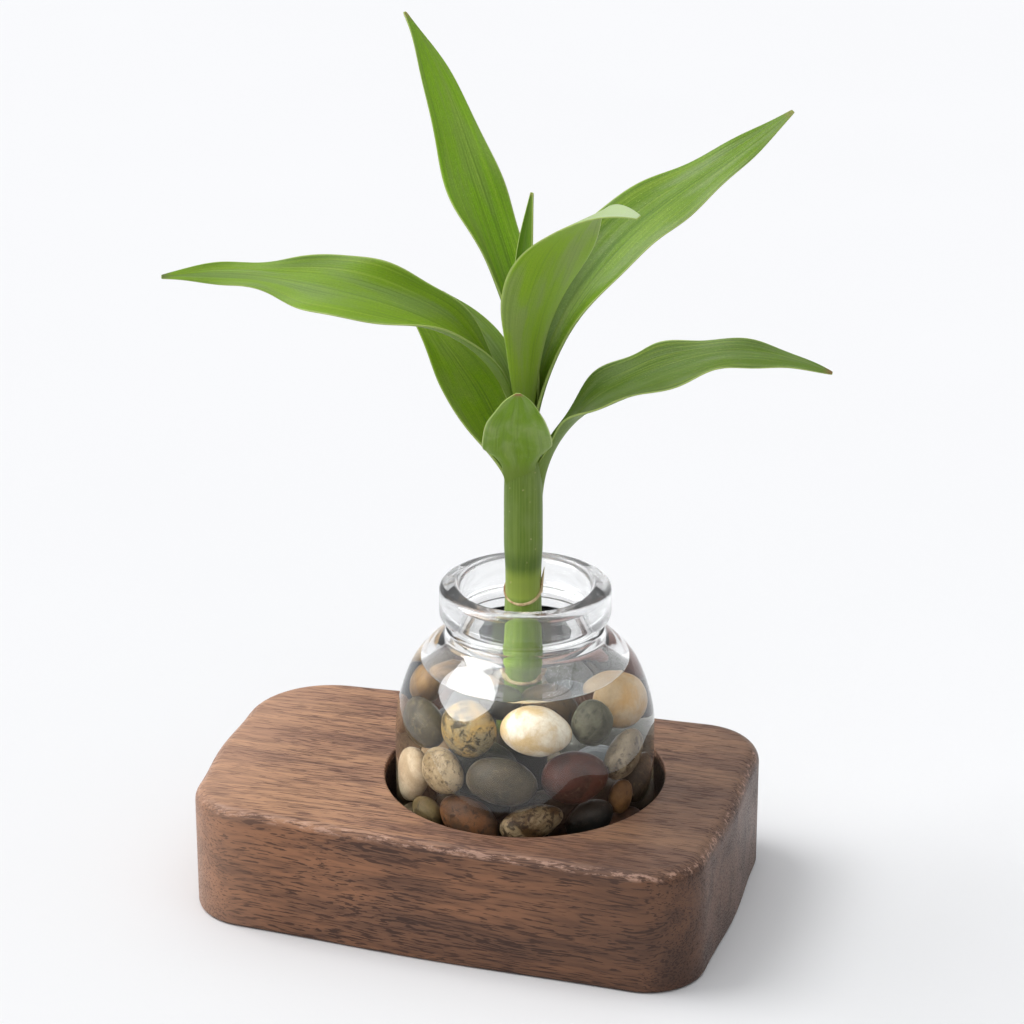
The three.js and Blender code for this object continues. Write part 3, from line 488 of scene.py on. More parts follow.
def build_block():
    start_fresh()
    bpy.ops.mesh.primitive_plane_add(size=1)
    block = bpy.context.object
    block.name = "walnut_block"
    mesh = block.data
    targets = [mm(x, y, 0) for x, y, radius in BLOCK_CORNERS]
    for vertex in mesh.vertices:
        k = {(-1, -1): 0, (1, -1): 1, (1, 1): 2, (-1, 1): 3}[(
            int(math.copysign(1, vertex.co.x)), int(math.copysign(1, vertex.co.y)))]
        vertex.co = targets[k]
    edit(block)
    # the corners are rounded one at a time, each to its own radius
    for (x, y, radius), corner in zip(BLOCK_CORNERS, targets):
        choose(block, "VERT", lambda co: (co - corner).length < 1e-6)
        bpy.ops.mesh.bevel(offset=radius * MM, segments=14, affect="VERTICES", profile=0.5)
    # each straight side is divided, then bowed out a little in its middle
    choose(block, "EDGE", lambda a, b: (a - b).length > 20 * MM)
    bpy.ops.mesh.subdivide(number_cuts=15)
    bpy.ops.object.mode_set(mode="OBJECT")
    for k in range(4):
        here, after = targets[k], targets[(k + 1) % 4]
        span = (after - here).length
        along = (after - here) / span
        outward = Vector((along.y, -along.x, 0))
        first = BLOCK_CORNERS[k][2] * MM
        last = span - BLOCK_CORNERS[(k + 1) % 4][2] * MM
        for vertex in mesh.vertices:
            offset = vertex.co - here
            run = offset.dot(along)
            if abs(offset.dot(outward)) < 1e-5 and first < run < last:
                t = (run - first) / (last - first)
                vertex.co += outward * BLOCK_SIDE_BOW * MM * math.sin(math.pi * t) ** 2
    edit(block)
    bpy.ops.mesh.select_all(action="SELECT")
    bpy.ops.mesh.extrude_region_move(TRANSFORM_OT_translate={"value": (0, 0, BLOCK_HEIGHT * MM)})
    bpy.ops.mesh.select_all(action="SELECT")
    bpy.ops.mesh.normals_make_consistent(inside=False)
    choose(block, "EDGE", lambda a, b: min(a.z, b.z) > (BLOCK_HEIGHT - 0.1) * MM)
    bpy.ops.mesh.bevel(offset=BLOCK_TOP_ROUND * MM, segments=8, affect="EDGES")
    choose(block, "EDGE", lambda a, b: max(a.z, b.z) < 0.1 * MM)
    bpy.ops.mesh.bevel(offset=BLOCK_FOOT_ROUND * MM, segments=3, affect="EDGES")
    bpy.ops.object.mode_set(mode="OBJECT")
    # the round pocket is bored with a plain cutter, and its rim is eased
    start_fresh()
    bpy.ops.mesh.primitive_cylinder_add(
        vertices=128, radius=POCKET_RADIUS * MM, depth=2 * POCKET_DEPTH * MM,
        location=(JAR_X * MM, JAR_Y * MM, BLOCK_HEIGHT * MM))
    cutter = bpy.context.object
    bore = block.modifiers.new("Pocket", "BOOLEAN")
    bore.operation = "DIFFERENCE"
    bore.solver = "EXACT"
    bore.object = cutter
    finish_modifiers(block)
    bpy.data.objects.remove(cutter, do_unlink=True)
    edit(block)
    axis = Vector((JAR_X * MM, JAR_Y * MM))

    def on_rim(co):
        return co.z > (BLOCK_HEIGHT - 0.1) * MM and abs((co.xy - axis).length - POCKET_RADIUS * MM) < 0.1 * MM

    choose(block, "EDGE", lambda a, b: on_rim(a) and on_rim(b))
    bpy.ops.mesh.bevel(offset=POCKET_EASE * MM, segments=4, affect="EDGES")
    bpy.ops.object.mode_set(mode="OBJECT")
    smooth(block, 30)
    block.data.materials.append(walnut_material())
    belongs(block, "walnut", "wood_base")


# ------------------------------------------------------------------ jar and water

JAR_OUTSIDE = [
    (26, JAR_FLOOR_Z + 1), (28, JAR_FLOOR_Z), (30.5, JAR_FLOOR_Z),
    *arc(30.5, JAR_FLOOR_Z + 4.5, 4.5, -60, 0, 8),
    (35, 30), (35, 45), (34.97, 49), (34.85, 52), (34.5, 55), (34.0, 57.3), (33.3, 59.7), (32.4, 62.6),
    (31.2, 65.6), (30.0, 67.9), (28.4, 70.0), (26.8, 71.8), (25.1, 73.4), (23.5, 74.7), (22.2, 75.6),
    (21.6, 76.2), (21.4, 77.0), (21.3, 78.2), (21.1, 78.6), (20.6, 78.8), (20.5, 79.5), (20.6, 80.3),
    (21.1, 80.9), (21.9, 81.3), (22.6, 81.9), (22.95, 82.7), (23.0, 83.6),
    *arc(21.1, 88.8, 1.9, 0, 90, 8),
]
JAR_INSIDE = [
    *arc(18.9, 89.1, 1.6, 90, 180, 8),
    (17.3, 84), (17.3, 81), (17.7, 78.8), (18.6, 76.4), (20.2, 74.2), (22.2, 72.2), (24.4, 70.0),
    (26.2, WATER_EDGE_Z), (26.5, 67.6),
    (28.8, 64.2), (30.1, 61.2), (31.0, 58.2), (31.8, 55.0), (32.2, 52.2), (32.4, 49), (32.4, 45), (32.4, 30),
    *arc(28.4, JAR_FLOOR_Z + 8.4, 4, 0, -90, 8),
    (14, JAR_FLOOR_Z + 4.4),
]


def inside_radius(z):
    """The radius of the jar's inner wall at a height, in mm."""
    points = sorted((height, radius) for radius, height in JAR_INSIDE)
    for (low, low_radius), (high, high_radius) in zip(points, points[1:]):
        if low <= z <= high and high > low:
            return low_radius + (high_radius - low_radius) * (z - low) / (high - low)
    return points[-1][1]


def build_jar():
    jar = turned("jar", JAR_OUTSIDE + JAR_INSIDE, JAR_SIDES)
    smooth(jar, 60)
    clear = (0.985, 0.992, 0.992, 1)
    for material in (clear_material("jar_glass", clear, GLASS_INDEX),
                     clear_material("wetted_glass", (0.97, 0.98, 0.975, 1), GLASS_INDEX / WATER_INDEX),
                     clear_material("rim_glass", clear, GLASS_INDEX, RIM_PLAIN_SHARE)):
        jar.data.materials.append(material)
    for face in jar.data.polygons:
        x, y, z = face.center / MM
        wetted = JAR_FLOOR_Z + 4 < z < WATER_EDGE_Z and math.hypot(x, y) < inside_radius(z) + 0.3
        face.material_index = 1 if wetted else 2 if z > NECK_Z else 0
    into_part_frame(jar)
    belongs(jar, "clear_glass", "glass_jar")


def build_water():
    """The body of water, sunk a hair into the wall of the glass, with its edge drawn up a little."""
    sunk = 0.08
    below = [(radius + sunk, z) for radius, z in JAR_INSIDE if z < WATER_LEVEL_Z - 0.5]
    below[-1] = (below[-1][0], below[-1][1] - sunk)
    below.append((6, JAR_FLOOR_Z + 4.4 - sunk))
    edge = inside_radius(WATER_EDGE_Z) + sunk
    meniscus = [(edge, WATER_EDGE_Z), (edge - 0.5, WATER_LEVEL_Z + 0.45), (edge - 1.1, WATER_LEVEL_Z + 0.15),
                (edge - 2.0, WATER_LEVEL_Z), (8, WATER_LEVEL_Z)]
    water = turned("water_body", below[::-1] + meniscus, JAR_SIDES)
    smooth(water, 60)
    water.data.materials.append(clear_material("still_water", (0.975, 0.985, 0.98, 1), WATER_INDEX))
    water.data.materials.append(clear_material("water_against_glass", (1, 1, 1, 1), 1.0))
    for face in water.data.polygons:
        face.material_index = 0 if face.center.z > (WATER_LEVEL_Z - 0.01) * MM else 1
    into_part_frame(water)
    belongs(water, "water", "water")


# ------------------------------------------------------------------ pebbles

HIDDEN_GROWTH = 1.1
# look of each seen pebble: body, cloud and fleck colours, fleck size and share
PEBBLE_LOOKS = {
    "cream_ochre": (srgb(220, 211, 193), srgb(198, 170, 126), srgb(160, 130, 88), 1.0, 0.12),
    "speckled_ochre": (srgb(132, 118, 88), srgb(160, 128, 70), srgb(34, 30, 23), 1.2, 0.62),
    "red_brown": (srgb(74, 38, 28), srgb(48, 26, 19), srgb(84, 62, 50), 0.7, 0.3),
    "grey_green": (srgb(68, 58, 42), srgb(44, 37, 27), srgb(94, 84, 64), 0.7, 0.35),
    "brown_orange": (srgb(66, 48, 35), srgb(94, 60, 35), srgb(36, 26, 19), 0.9, 0.45),
    "cream_speckled": (srgb(136, 116, 88), srgb(74, 52, 27), srgb(34, 22, 11), 1.1, 0.62),
    "olive": (srgb(84, 70, 46), srgb(110, 96, 70), srgb(36, 29, 18), 0.9, 0.5),
    "pale_cream": (srgb(188, 169, 142), srgb(164, 143, 114), srgb(130, 106, 74), 1.0, 0.15),
    "pale_speckled": (srgb(160, 140, 110), srgb(130, 110, 80), srgb(78, 64, 45), 0.6, 0.5),
    "dark_olive": (srgb(66, 57, 38), srgb(44, 37, 25), srgb(98, 86, 60), 0.8, 0.45),
    "golden_brown": (srgb(126, 97, 60), srgb(92, 68, 40), srgb(58, 44, 29), 0.8, 0.4),
    "tan_pink": (srgb(108, 84, 62), srgb(88, 66, 46), srgb(60, 46, 34), 0.8, 0.3),
    "dark_gold": (srgb(60, 48, 33), srgb(88, 68, 40), srgb(28, 22, 15), 0.8, 0.5),
    "big_tan": (srgb(188, 162, 126), srgb(186, 146, 90), srgb(138, 112, 78), 1.1, 0.2),
    "green_grey": (srgb(112, 108, 88), srgb(82, 79, 64), srgb(54, 51, 40), 0.8, 0.5),
    "cream_oval": (srgb(140, 124, 100), srgb(110, 94, 72), srgb(58, 46, 31), 0.7, 0.5),
    "dark_green": (srgb(9, 10, 8), srgb(15, 15, 12), srgb(6, 6, 5), 0.9, 0.4),
    "orange_tan": (srgb(122, 86, 48), srgb(98, 66, 36), srgb(62, 41, 22), 0.8, 0.3),
    "dark_grey": (srgb(54, 44, 30), srgb(39, 31, 21), srgb(80, 68, 47), 0.7, 0.4),
    "yellow_green": (srgb(104, 88, 56), srgb(84, 70, 44), srgb(54, 44, 27), 0.9, 0.4),
    "slate": (srgb(56, 52, 44), srgb(72, 68, 58), srgb(33, 29, 24), 0.8, 0.4),
    "dusty_red": (srgb(132, 92, 82), srgb(112, 72, 62), srgb(78, 50, 43), 0.8, 0.3),
    "back_tan": (srgb(150, 126, 92), srgb(124, 100, 68), srgb(82, 64, 43), 0.9, 0.35),
}
# the two looks of the hidden stones that lie under the water's surface at the back: rosy and sandy tones,
# painted paler than the stones below them as painted light, standing in for the light that falls on them
# through the open jar
ROSY_SUNLIT_LOOK = (srgb(178, 122, 108), srgb(150, 98, 86), srgb(104, 70, 62), 0.8, 0.3)
SANDY_SUNLIT_LOOK = (srgb(180, 152, 116), srgb(150, 122, 88), srgb(96, 76, 54), 0.9, 0.35)
PLAIN_LOOKS = [
    (srgb(96, 80, 62), srgb(78, 64, 48), srgb(50, 40, 30), 0.8, 0.35),
    (srgb(84, 82, 72), srgb(66, 64, 56), srgb(42, 40, 34), 0.7, 0.4),
    (srgb(120, 106, 82), srgb(98, 84, 62), srgb(64, 54, 38), 0.9, 0.4),
    (srgb(66, 52, 40), srgb(50, 40, 30), srgb(30, 24, 18), 0.8, 0.4),
    (srgb(132, 118, 94), srgb(108, 96, 74), srgb(76, 66, 50), 0.8, 0.3),
    (srgb(74, 70, 54), srgb(58, 54, 42), srgb(36, 33, 26), 0.8, 0.5),
    (srgb(98, 68, 54), srgb(78, 54, 42), srgb(56, 40, 32), 0.9, 0.3),
    (srgb(72, 76, 76), srgb(56, 60, 62), srgb(40, 42, 44), 0.7, 0.4),
]


def pebble_material(name, look):
    body, cloud, fleck, size, share = look
    material, b, shader = new_material("pebble_" + name, 0.22)
    place = b.node("ShaderNodeTexCoord").outputs["Object"]
    values = {"Place": place, "Fleck Size": size, "Fleck Share": share}
    masks = b.node("ShaderNodeGroup", values, node_tree=FLECK).outputs
    colour = b.mix(masks["Cloud"], body, cloud)
    colour = b.tint(colour, masks["Fleck"], 0.85, fleck)
    colour = b.tint(colour, masks["Dust"], 0.3, fleck)
    b.link(colour, shader.inputs["Base Color"])
    shader.inputs["Specular IOR Level"].default_value = 0.16
    b.link(b.ramp(masks["Cloud"], 0.0, 1.0, 0.3, 0.5), shader.inputs["Roughness"])
    b.bump(shader, masks["Fleck"], 0.3, 0.3 * MM)
    return material


def build_pebbles():
    """Each pebble's solid is copied, rounded and worn a little uneven."""
    plain = [pebble_material(f"mix_{i + 1}", look) for i, look in enumerate(PLAIN_LOOKS)]
    rosy_sunlit = pebble_material("rosy_sunlit", ROSY_SUNLIT_LOOK)
    sandy_sunlit = pebble_material("sandy_sunlit", SANDY_SUNLIT_LOOK)
    names = sorted(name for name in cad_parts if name.startswith("pebble_"))
    for name in names:
        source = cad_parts[name]
        pebble = source.copy()
        pebble.data = source.data.copy()
        bpy.context.scene.collection.objects.link(pebble)
        pebble.parent = None
        pebble.matrix_world = Matrix.Identity(4)
        key = name[len("pebble_"):]
        pebble.name = "stone_" + key
        pebble.data.materials.clear()
        edit(pebble)
        bpy.ops.mesh.select_all(action="SELECT")
        bpy.ops.mesh.remove_doubles(threshold=1e-6)
        bpy.ops.object.mode_set(mode="OBJECT")
        subdivide_smooth(pebble, 3)
        make_uneven(pebble, "pebble_wear", 9.0, 0.9, 0.0)
        if key.startswith("inner"):
            # the hidden ones fill the gaps of the heap
            middle = sum((Vector(corner) for corner in pebble.bound_box), Vector()) / 8
            resize_all(pebble, (HIDDEN_GROWTH,) * 3, middle)
        bpy.ops.object.shade_smooth()
        if key in PEBBLE_LOOKS:
            slot_name = "stone_" + key
            pebble.data.materials.append(pebble_material(key, PEBBLE_LOOKS[key]))
        else:
            mix = (int(key.split("_")[1]) - 1) % len(PLAIN_LOOKS)
            slot_name = f"stone_mix_{mix + 1}"
            corners = pebble.data.vertices
            x, y, z = JAR_TO_PART.inverted() @ (sum((v.co for v in corners), Vector()) / len(corners))
            # the hidden stones near the surface at the back are painted paler: painted light from the open jar
            # above them
            if y > -8 * MM and z > 38 * MM:
                pebble.data.materials.append(rosy_sunlit if x > -2 * MM else sandy_sunlit)
            else:
                pebble.data.materials.append(plain[mix])
        belongs(pebble, slot_name, name)


# ------------------------------------------------------------------ leaves

# each leaf in the jar's frame: base in mm, length, then values at equal steps along it: its direction as
# azimuth and elevation, its roll and curl in degrees and its width in mm; last, its margin's waves
LEAVES = {
    "long_left": dict(
        base=(-3.0, 0.7, 138.5), length=110.9, azimuth=[172, 188, 155, 170],
        elevation=[75, 43.6, 21.9, 3.8, -3.9, -10.7], roll=[-21, 26, 41, 55],
        width=[3.4, 7.0, 18.7, 20.4, 19.9, 9.4, 6.3, 1], curl=[120, 55, 12, 5], wave=1.0, waves=4.5),
    "upper_left": dict(
        base=(-0.1, 1.5, 140), length=109.2, azimuth=[117.4, 131.6, 124.4, 140.7],
        elevation=[87, 61.6, 59, 50.2], roll=[-11, -3.7, 16.4, -4.4],
        width=[7.8, 11.1, 16.3, 17.6, 13.1, 8.6, 1], curl=[112, 62, 17, 5], wave=0.7, waves=3.5),
    "upper_right": dict(
        base=(1.3, 1.0, 135.9), length=114.6, azimuth=[56.8, 38.3, 28.9, 26.4],
        elevation=[77, 44.7, 25.3, 30.7], roll=[-12.3, -31.5, -20, -35],
        width=[7.8, 11.9, 18.1, 20.6, 16.5, 9.1, 1], curl=[111.5, 71.4, 5.3, 8.4], wave=0.9, waves=4),
    "front_centre": dict(
        base=(0.3, -2.4, 138.3), length=91.4, azimuth=[-76.5, -61.6, -57.4, -46.6],
        elevation=[90, 67.7, 48.2, -4], roll=[-4.4, -2.7, -1.1, -26],
        width=[5.0, 12.7, 21.8, 22.2, 11.6, 1.4], curl=[78.8, 43.8, 4, 6.8], wave=0.4, waves=2),
    "lower_right": dict(
        base=(4.3, 0.1, 118.3), length=94.9, azimuth=[-4.4, -20.9, 1.7, -4.0],
        elevation=[82.5, 53.1, 30, 19.4, -7.4, -18.6], roll=[12, -20.8, -27.1, -30.2],
        width=[7.8, 9.0, 18.0, 18.4, 12.3, 7.4, 0.9], curl=[83.3, 48, 24.5, 11.5], wave=0.9, waves=4.5),
    "back_left": dict(
        base=(-3.9, 1.3, 123.3), length=54.4, azimuth=[140.7, 141.6, 148.2],
        elevation=[67.3, 46.4, 34.7], roll=[13.1, 21.0, 3.0],
        width=[9.4, 19.5, 18.5, 10.8, 2.6], curl=[53.4, 16.2, 7.2], wave=0.2, waves=1.5),
    "back_inner": dict(
        base=(-2.5, 2.9, 139.6), length=37.3, azimuth=[129, 142, 146],
        elevation=[68, 43, 33], roll=[0, 6, 3],
        width=[6.2, 9.1, 10.6, 8.0, 0.9], curl=[59, 33, 10], wave=0.1, waves=1),
    "front_short": dict(
        base=(-1.7, -4.4, 123.0), length=44.5, azimuth=[-96, -91, -84],
        elevation=[65, 60, 52, 44, 39, 37, 42, 64, 66], roll=[-5, -3, 5],
        width=[9.6, 10, 13.4, 18.4, 18.8, 18.4, 17.9, 17.4, 16.9, 16.4, 15.8, 15.1, 14, 12.2, 9.8, 6.4,
               0.9],
        curl=[50, 46, 22, 12, 10, 8, 8, 12, 18], wave=0.2, waves=1.5),
    "spear": dict(
        base=(-1.2, -2.7, 151.9), length=46.6, azimuth=[70, 60], elevation=[85, 79], roll=[6, 6],
        width=[3.0, 6.4, 5.8, 0.9], curl=[70, 59], wave=0, waves=1),
}
LEAST_WIDTH = 0.7
LEAST_CURL = 0.02
BASE_THICKNESS = 0.9
BLADE_THICKNESS = 0.5
# how far each leaf's start is drawn down the stem, in mm
FOOT = {"front_short": 14, "lower_right": 15, "back_left": 6}
OTHER_FOOT = 5
LEAF_COLUMNS = 14
LEAF_ROWS = 72
FOOT_ROWS = 8


def leaf_point(leaf, u, station):
    """A point of the leaf in mm, u from -1 to 1 across it."""
    s, place, side, normal, share = station
    half = share * max(knots(leaf["width"], s), LEAST_WIDTH) / 2
    curl = math.radians(knots(leaf["curl"], s))
    if abs(curl) < LEAST_CURL:
        curl = LEAST_CURL
    across = half * math.sin(curl * u) / curl
    lift = half * (1 - math.cos(curl * u)) / curl
    ripple = math.sin(2 * math.pi * (leaf["waves"] * s + 0.23 * u))
    lift += leaf["wave"] * ripple * u * u * max(math.sin(math.pi * s), 0) ** 0.7
    return place + side * across + normal * lift


def leaf_spine(leaf, count, foot, foot_count):
    """(s, place, side, normal, share of width) along the leaf's middle line, the foot's stations first."""
    step = leaf["length"] / count
    foot_step = foot / foot_count
    above_base = [leaf_station(leaf, i / count, 0) for i in range(count + 1)]
    place = Vector(leaf["base"])
    stations = []
    for i, (s, along, side, normal) in enumerate(above_base):
        if i:
            place = place + (above_base[i - 1][1] + along) * 0.5 * step
        stations.append((s, place, side, normal, 1))
    place = Vector(leaf["base"])
    last = above_base[0][1]
    for i in range(1, foot_count + 1):
        s, along, side, normal = leaf_station(leaf, 0, i / foot_count)
        place = place - (last + along) * 0.5 * foot_step
        last = along
        stations.insert(0, (0, place, side, normal, 1 - 0.6 * i / foot_count))
    return stations


def leaf_station(leaf, s, down):
    """Directions at s; `down` from 0 to 1 turns the start of the leaf upright."""
    azimuth, elevation, roll = (math.radians(knots(leaf[key], s)) for key in ("azimuth", "elevation", "roll"))
    upright = math.sin(0.5 * math.pi * min(1.6 * down, 1))
    elevation += (math.radians(89) - elevation) * upright
    along = Vector((math.cos(elevation) * math.cos(azimuth), math.cos(elevation) * math.sin(azimuth),
                    math.sin(elevation)))
    level = Vector((math.sin(azimuth), -math.cos(azimuth), 0))
    above = level.cross(along)
    side = level * math.cos(roll) + above * math.sin(roll)
    normal = above * math.cos(roll) - level * math.sin(roll)
    return s, along, side, normal


def build_leaf(name, leaf, materials):
    rows = LEAF_ROWS + FOOT_ROWS
    start_fresh()
    bpy.ops.mesh.primitive_grid_add(x_subdivisions=LEAF_COLUMNS, y_subdivisions=rows, size=1, calc_uvs=True)
    obj = bpy.context.object
    obj.name = "blade_" + name
    stations = leaf_spine(leaf, LEAF_ROWS, FOOT.get(name, OTHER_FOOT), FOOT_ROWS)
    thick = obj.vertex_groups.new(name="thick")
    for vertex in obj.data.vertices:
        row = round((vertex.co.y + 0.5) * rows)
        station = stations[row]
        slim = min(max((station[0] - 0.08) / 0.3, 0), 1)
        thickness = BASE_THICKNESS + (BLADE_THICKNESS - BASE_THICKNESS) * slim
        thick.add([vertex.index], thickness / BASE_THICKNESS, "REPLACE")
        vertex.co = leaf_point(leaf, 2 * vertex.co.x, station) * MM
    for material in materials:
        obj.data.materials.append(material)
    body = obj.modifiers.new("Body", "SOLIDIFY")
    body.thickness = BASE_THICKNESS * MM
    body.vertex_group = "thick"
    body.offset = 0
    body.material_offset = 1
    body.material_offset_rim = 2
    finish_modifiers(obj)
    subdivide_smooth(obj, 1)
    pick(obj)
    bpy.ops.object.shade_smooth()
    into_part_frame(obj)
    belongs(obj, "leaf", "leaf_" + name)


# each leaf's greens: vivid and dusty above, vivid and dusty below
LEAF_GREENS = {
    "long_left": (srgb(120, 152, 12), srgb(120, 146, 60), srgb(124, 150, 62), srgb(128, 152, 90)),
    "upper_left": (srgb(124, 164, 10), srgb(124, 154, 50), srgb(134, 160, 62), srgb(138, 162, 90)),
    "upper_right": (srgb(110, 142, 24), srgb(126, 148, 82), srgb(128, 154, 62), srgb(136, 158, 96)),
    "front_centre": (srgb(140, 168, 36), srgb(146, 166, 92), srgb(138, 170, 26), srgb(142, 162, 80)),
    "lower_right": (srgb(90, 116, 18), srgb(108, 128, 66), srgb(118, 142, 66), srgb(128, 150, 92)),
    "back_left": (srgb(130, 162, 12), srgb(134, 158, 52), srgb(124, 148, 60), srgb(130, 150, 86)),
    "back_inner": (srgb(130, 156, 62), srgb(138, 160, 90), srgb(130, 156, 70), srgb(138, 160, 92)),
    "front_short": (srgb(122, 150, 50), srgb(130, 156, 76), srgb(116, 150, 30), srgb(136, 160, 80)),
    "spear": (srgb(98, 136, 16), srgb(104, 134, 42), srgb(92, 128, 18), srgb(102, 132, 42)),
}


# the colour of each leaf's dry tip; on the front leaf's upper face the bent-over end is painted pale over a
# longer way, a painted sheen where that face lies level and catches the light
DRY_TIP = srgb(140, 132, 74)
DRY_TIPS = {"lower_right": srgb(126, 92, 58), "front_short": srgb(150, 104, 74), "long_left": srgb(92, 100, 50)}
TIP_FROM = 0.968
SHEEN_LEAF = "front_centre"
PAINTED_SHEEN_TIP = srgb(174, 190, 146)
PAINTED_SHEEN_FROM = 0.62


def build_leaves():
    rim, b, shader = new_material("leaf_margin", 0.5)
    uv = b.node("ShaderNodeTexCoord").outputs["UV"]
    patch = b.noise(b.stretched(uv, (3, 40, 1)), 1.0, 3.0)
    b.link(b.mix(patch, srgb(178, 194, 112), srgb(136, 160, 66)), shader.inputs["Base Color"])
    for number, (name, leaf) in enumerate(LEAVES.items()):
        tip = (DRY_TIPS.get(name, DRY_TIP), TIP_FROM)
        # the front leaf's upper face takes the painted sheen in place of the dry tip
        upper_tip_and_sheen = (PAINTED_SHEEN_TIP, PAINTED_SHEEN_FROM) if name == SHEEN_LEAF else tip
        vivid, dusty, vivid_under, dusty_under = LEAF_GREENS[name]
        seed = 3.7 * number
        upper = leaf_material(name + "_upper", vivid, dusty, seed, *upper_tip_and_sheen, 0.48, 1.0)
        lower = leaf_material(name + "_under", vivid_under, dusty_under, seed + 1.9, *tip, 0.55, 0.5)
        build_leaf(name, leaf, (upper, lower, rim))


# ------------------------------------------------------------------ stem

def stem_material():
    material, b, shader = new_material("green_stem", 0.45)
    place = b.node("ShaderNodeTexCoord").outputs["Object"]
    height = b.math("DIVIDE", b.node("ShaderNodeSeparateXYZ", {0: place}).outputs[2], MM)
    streak = b.noise(b.stretched(place, (1500, 1500, 26)), 1.0, 2.0, 0.6)
    patch = b.noise(b.stretched(place, (160, 160, 60)), 1.0, 3.0, 0.6)
    colour = b.mix(b.ramp(streak, 0.38, 0.66), srgb(94, 120, 26), srgb(114, 138, 44))
    colour = b.tint(colour, b.ramp(patch, 0.42, 0.7), 0.45, srgb(124, 144, 74))
    # a dark band at the joint above the scar, and young paler green under it
    band = b.math("MULTIPLY", b.ramp(height, 94.5, 97.5), b.ramp(height, 102.5, 98.5))
    colour = b.tint(colour, band, 0.5, srgb(70, 96, 28))
    young = b.math("MULTIPLY", b.ramp(height, 87.0, 88.5), b.ramp(height, 97.0, 93.0))
    colour = b.tint(colour, young, 0.65, srgb(152, 170, 66))
    specks = b.noise(b.stretched(place, (900, 900, 900)), 1.0, 0.0)
    colour = b.tint(colour, b.ramp(specks, 0.79, 0.83), 0.42, srgb(190, 180, 120))
    # below the stones' tops the stem turns dark brown: its own browner base, darkened further as painted shade
    # among the stones
    colour = b.mix(b.ramp(height, 55.0, 47.0), colour, srgb(48, 40, 26))
    b.link(colour, shader.inputs["Base Color"])
    b.bump(shader, streak, 0.3, 0.2 * MM)
    set_living_tissue(shader, 0.15, 0.35)
    return material


# outline of the stem from its foot to its top: radius and height
STEM_PROFILE = [
    (3.6, 25), (4.5, 25.4), (4.9, 27), (5.1, 45), (5.4, 54), (5.4, 56.5), (5.0, 58.5), (4.85, 61),
    (4.85, 66), (4.9, 74), (5.0, 82), (5.0, 86), (4.9, 87.5), (4.75, 89.5), (4.75, 93), (4.85, 97),
    (5.05, 99.5), (5.15, 101), (5.2, 104), (5.2, 110), (5.15, 116), (5.1, 120), (4.95, 125), (4.5, 131),
    (3.8, 137), (3.1, 142), (2.0, 148), (1.2, 149),
]


def build_stem():
    stem = turned("living_stem", STEM_PROFILE, 48)
    stem.data.transform(Matrix.Translation(mm(STEM_X, 0, 0)))
    subdivide_smooth(stem, 1)
    make_uneven(stem, "stem_unevenness", 20.0, 0.5, 0.5)
    smooth(stem, 70)
    into_part_frame(stem)
    stem.data.materials.append(stem_material())
    belongs(stem, "stem", "stem")


def dry_material():
    """Papery remains of old leaf bases."""
    material, b, shader = new_material("dry_sheath", 0.7)
    place = b.node("ShaderNodeTexCoord").outputs["Object"]
    patch = b.noise(b.stretched(place, (420, 420, 700)), 1.0, 4.0, 0.65)
    colour = b.mix(b.ramp(patch, 0.42, 0.62), srgb(206, 184, 142), srgb(146, 108, 66))
    b.link(colour, shader.inputs["Base Color"])
    b.bump(shader, patch, 0.5, 0.2 * MM)
    return material


def build_scars():
    """The upper scar is a thin tilted ring with a sliver; the lower one is a torn collar under water."""
    dry = dry_material()
    start_fresh()
    bpy.ops.mesh.primitive_torus_add(
        major_segments=64, minor_segments=10, major_radius=4.9 * MM, minor_radius=0.36 * MM)
    ring = bpy.context.object
    ring.name = "upper_scar"
    resize_all(ring, (1, 1 / math.cos(UPPER_SCAR_TILT), 1.3))
    ring.data.transform(Matrix.Rotation(UPPER_SCAR_TILT, 4, "X") @ Matrix.Rotation(math.radians(-8), 4, "Y"))
    ring.data.transform(Matrix.Translation(mm(STEM_X, 0, UPPER_SCAR_Z)))
    smooth(ring, 60)
    into_part_frame(ring)
    ring.data.materials.append(dry)
    belongs(ring, "stem")
    start_fresh()
    bpy.ops.mesh.primitive_cone_add(vertices=12, radius1=1.7 * MM, radius2=0.15 * MM, depth=7.0 * MM)
    sliver = bpy.context.object
    sliver.name = "upper_sliver"
    resize_all(sliver, (0.4, 1, 1))
    sliver.data.transform(Matrix.Rotation(math.radians(9), 4, "Y"))
    sliver.data.transform(Matrix.Translation(mm(STEM_X + 5.1, -0.6, 92.2)))
    smooth(sliver, 60)
    into_part_frame(sliver)
    sliver.data.materials.append(dry)
    belongs(sliver, "stem")
    collar = turned("lower_collar", [(4.4, 55.8), (5.5, 56.0), (6.0, 56.6), (6.7, 57.9), (6.6, 58.3),
                                     (6.0, 57.9), (5.3, 57.5), (4.4, 57.5)], 72)
    collar.data.transform(Matrix.Translation(mm(STEM_X, 0, 0)))
    edit(collar)
    choose(collar, "VERT", lambda co: (co.xy - mm(STEM_X, 0, 0).xy).length > 6.2 * MM)
    bpy.ops.transform.vertex_random(offset=0.0005, uniform=1.0, normal=0.0, seed=7)
    bpy.ops.object.mode_set(mode="OBJECT")
    subdivide_smooth(collar, 1)
    smooth(collar, 60)
    into_part_frame(collar)
    collar.data.materials.append(dry)
    belongs(collar, "stem")


# ------------------------------------------------------------------ the object

build_block()
build_jar()
build_water()
build_pebbles()
build_leaves()
build_stem()
build_scars()

# ------------------------------------------------------------------ floor, light and camera

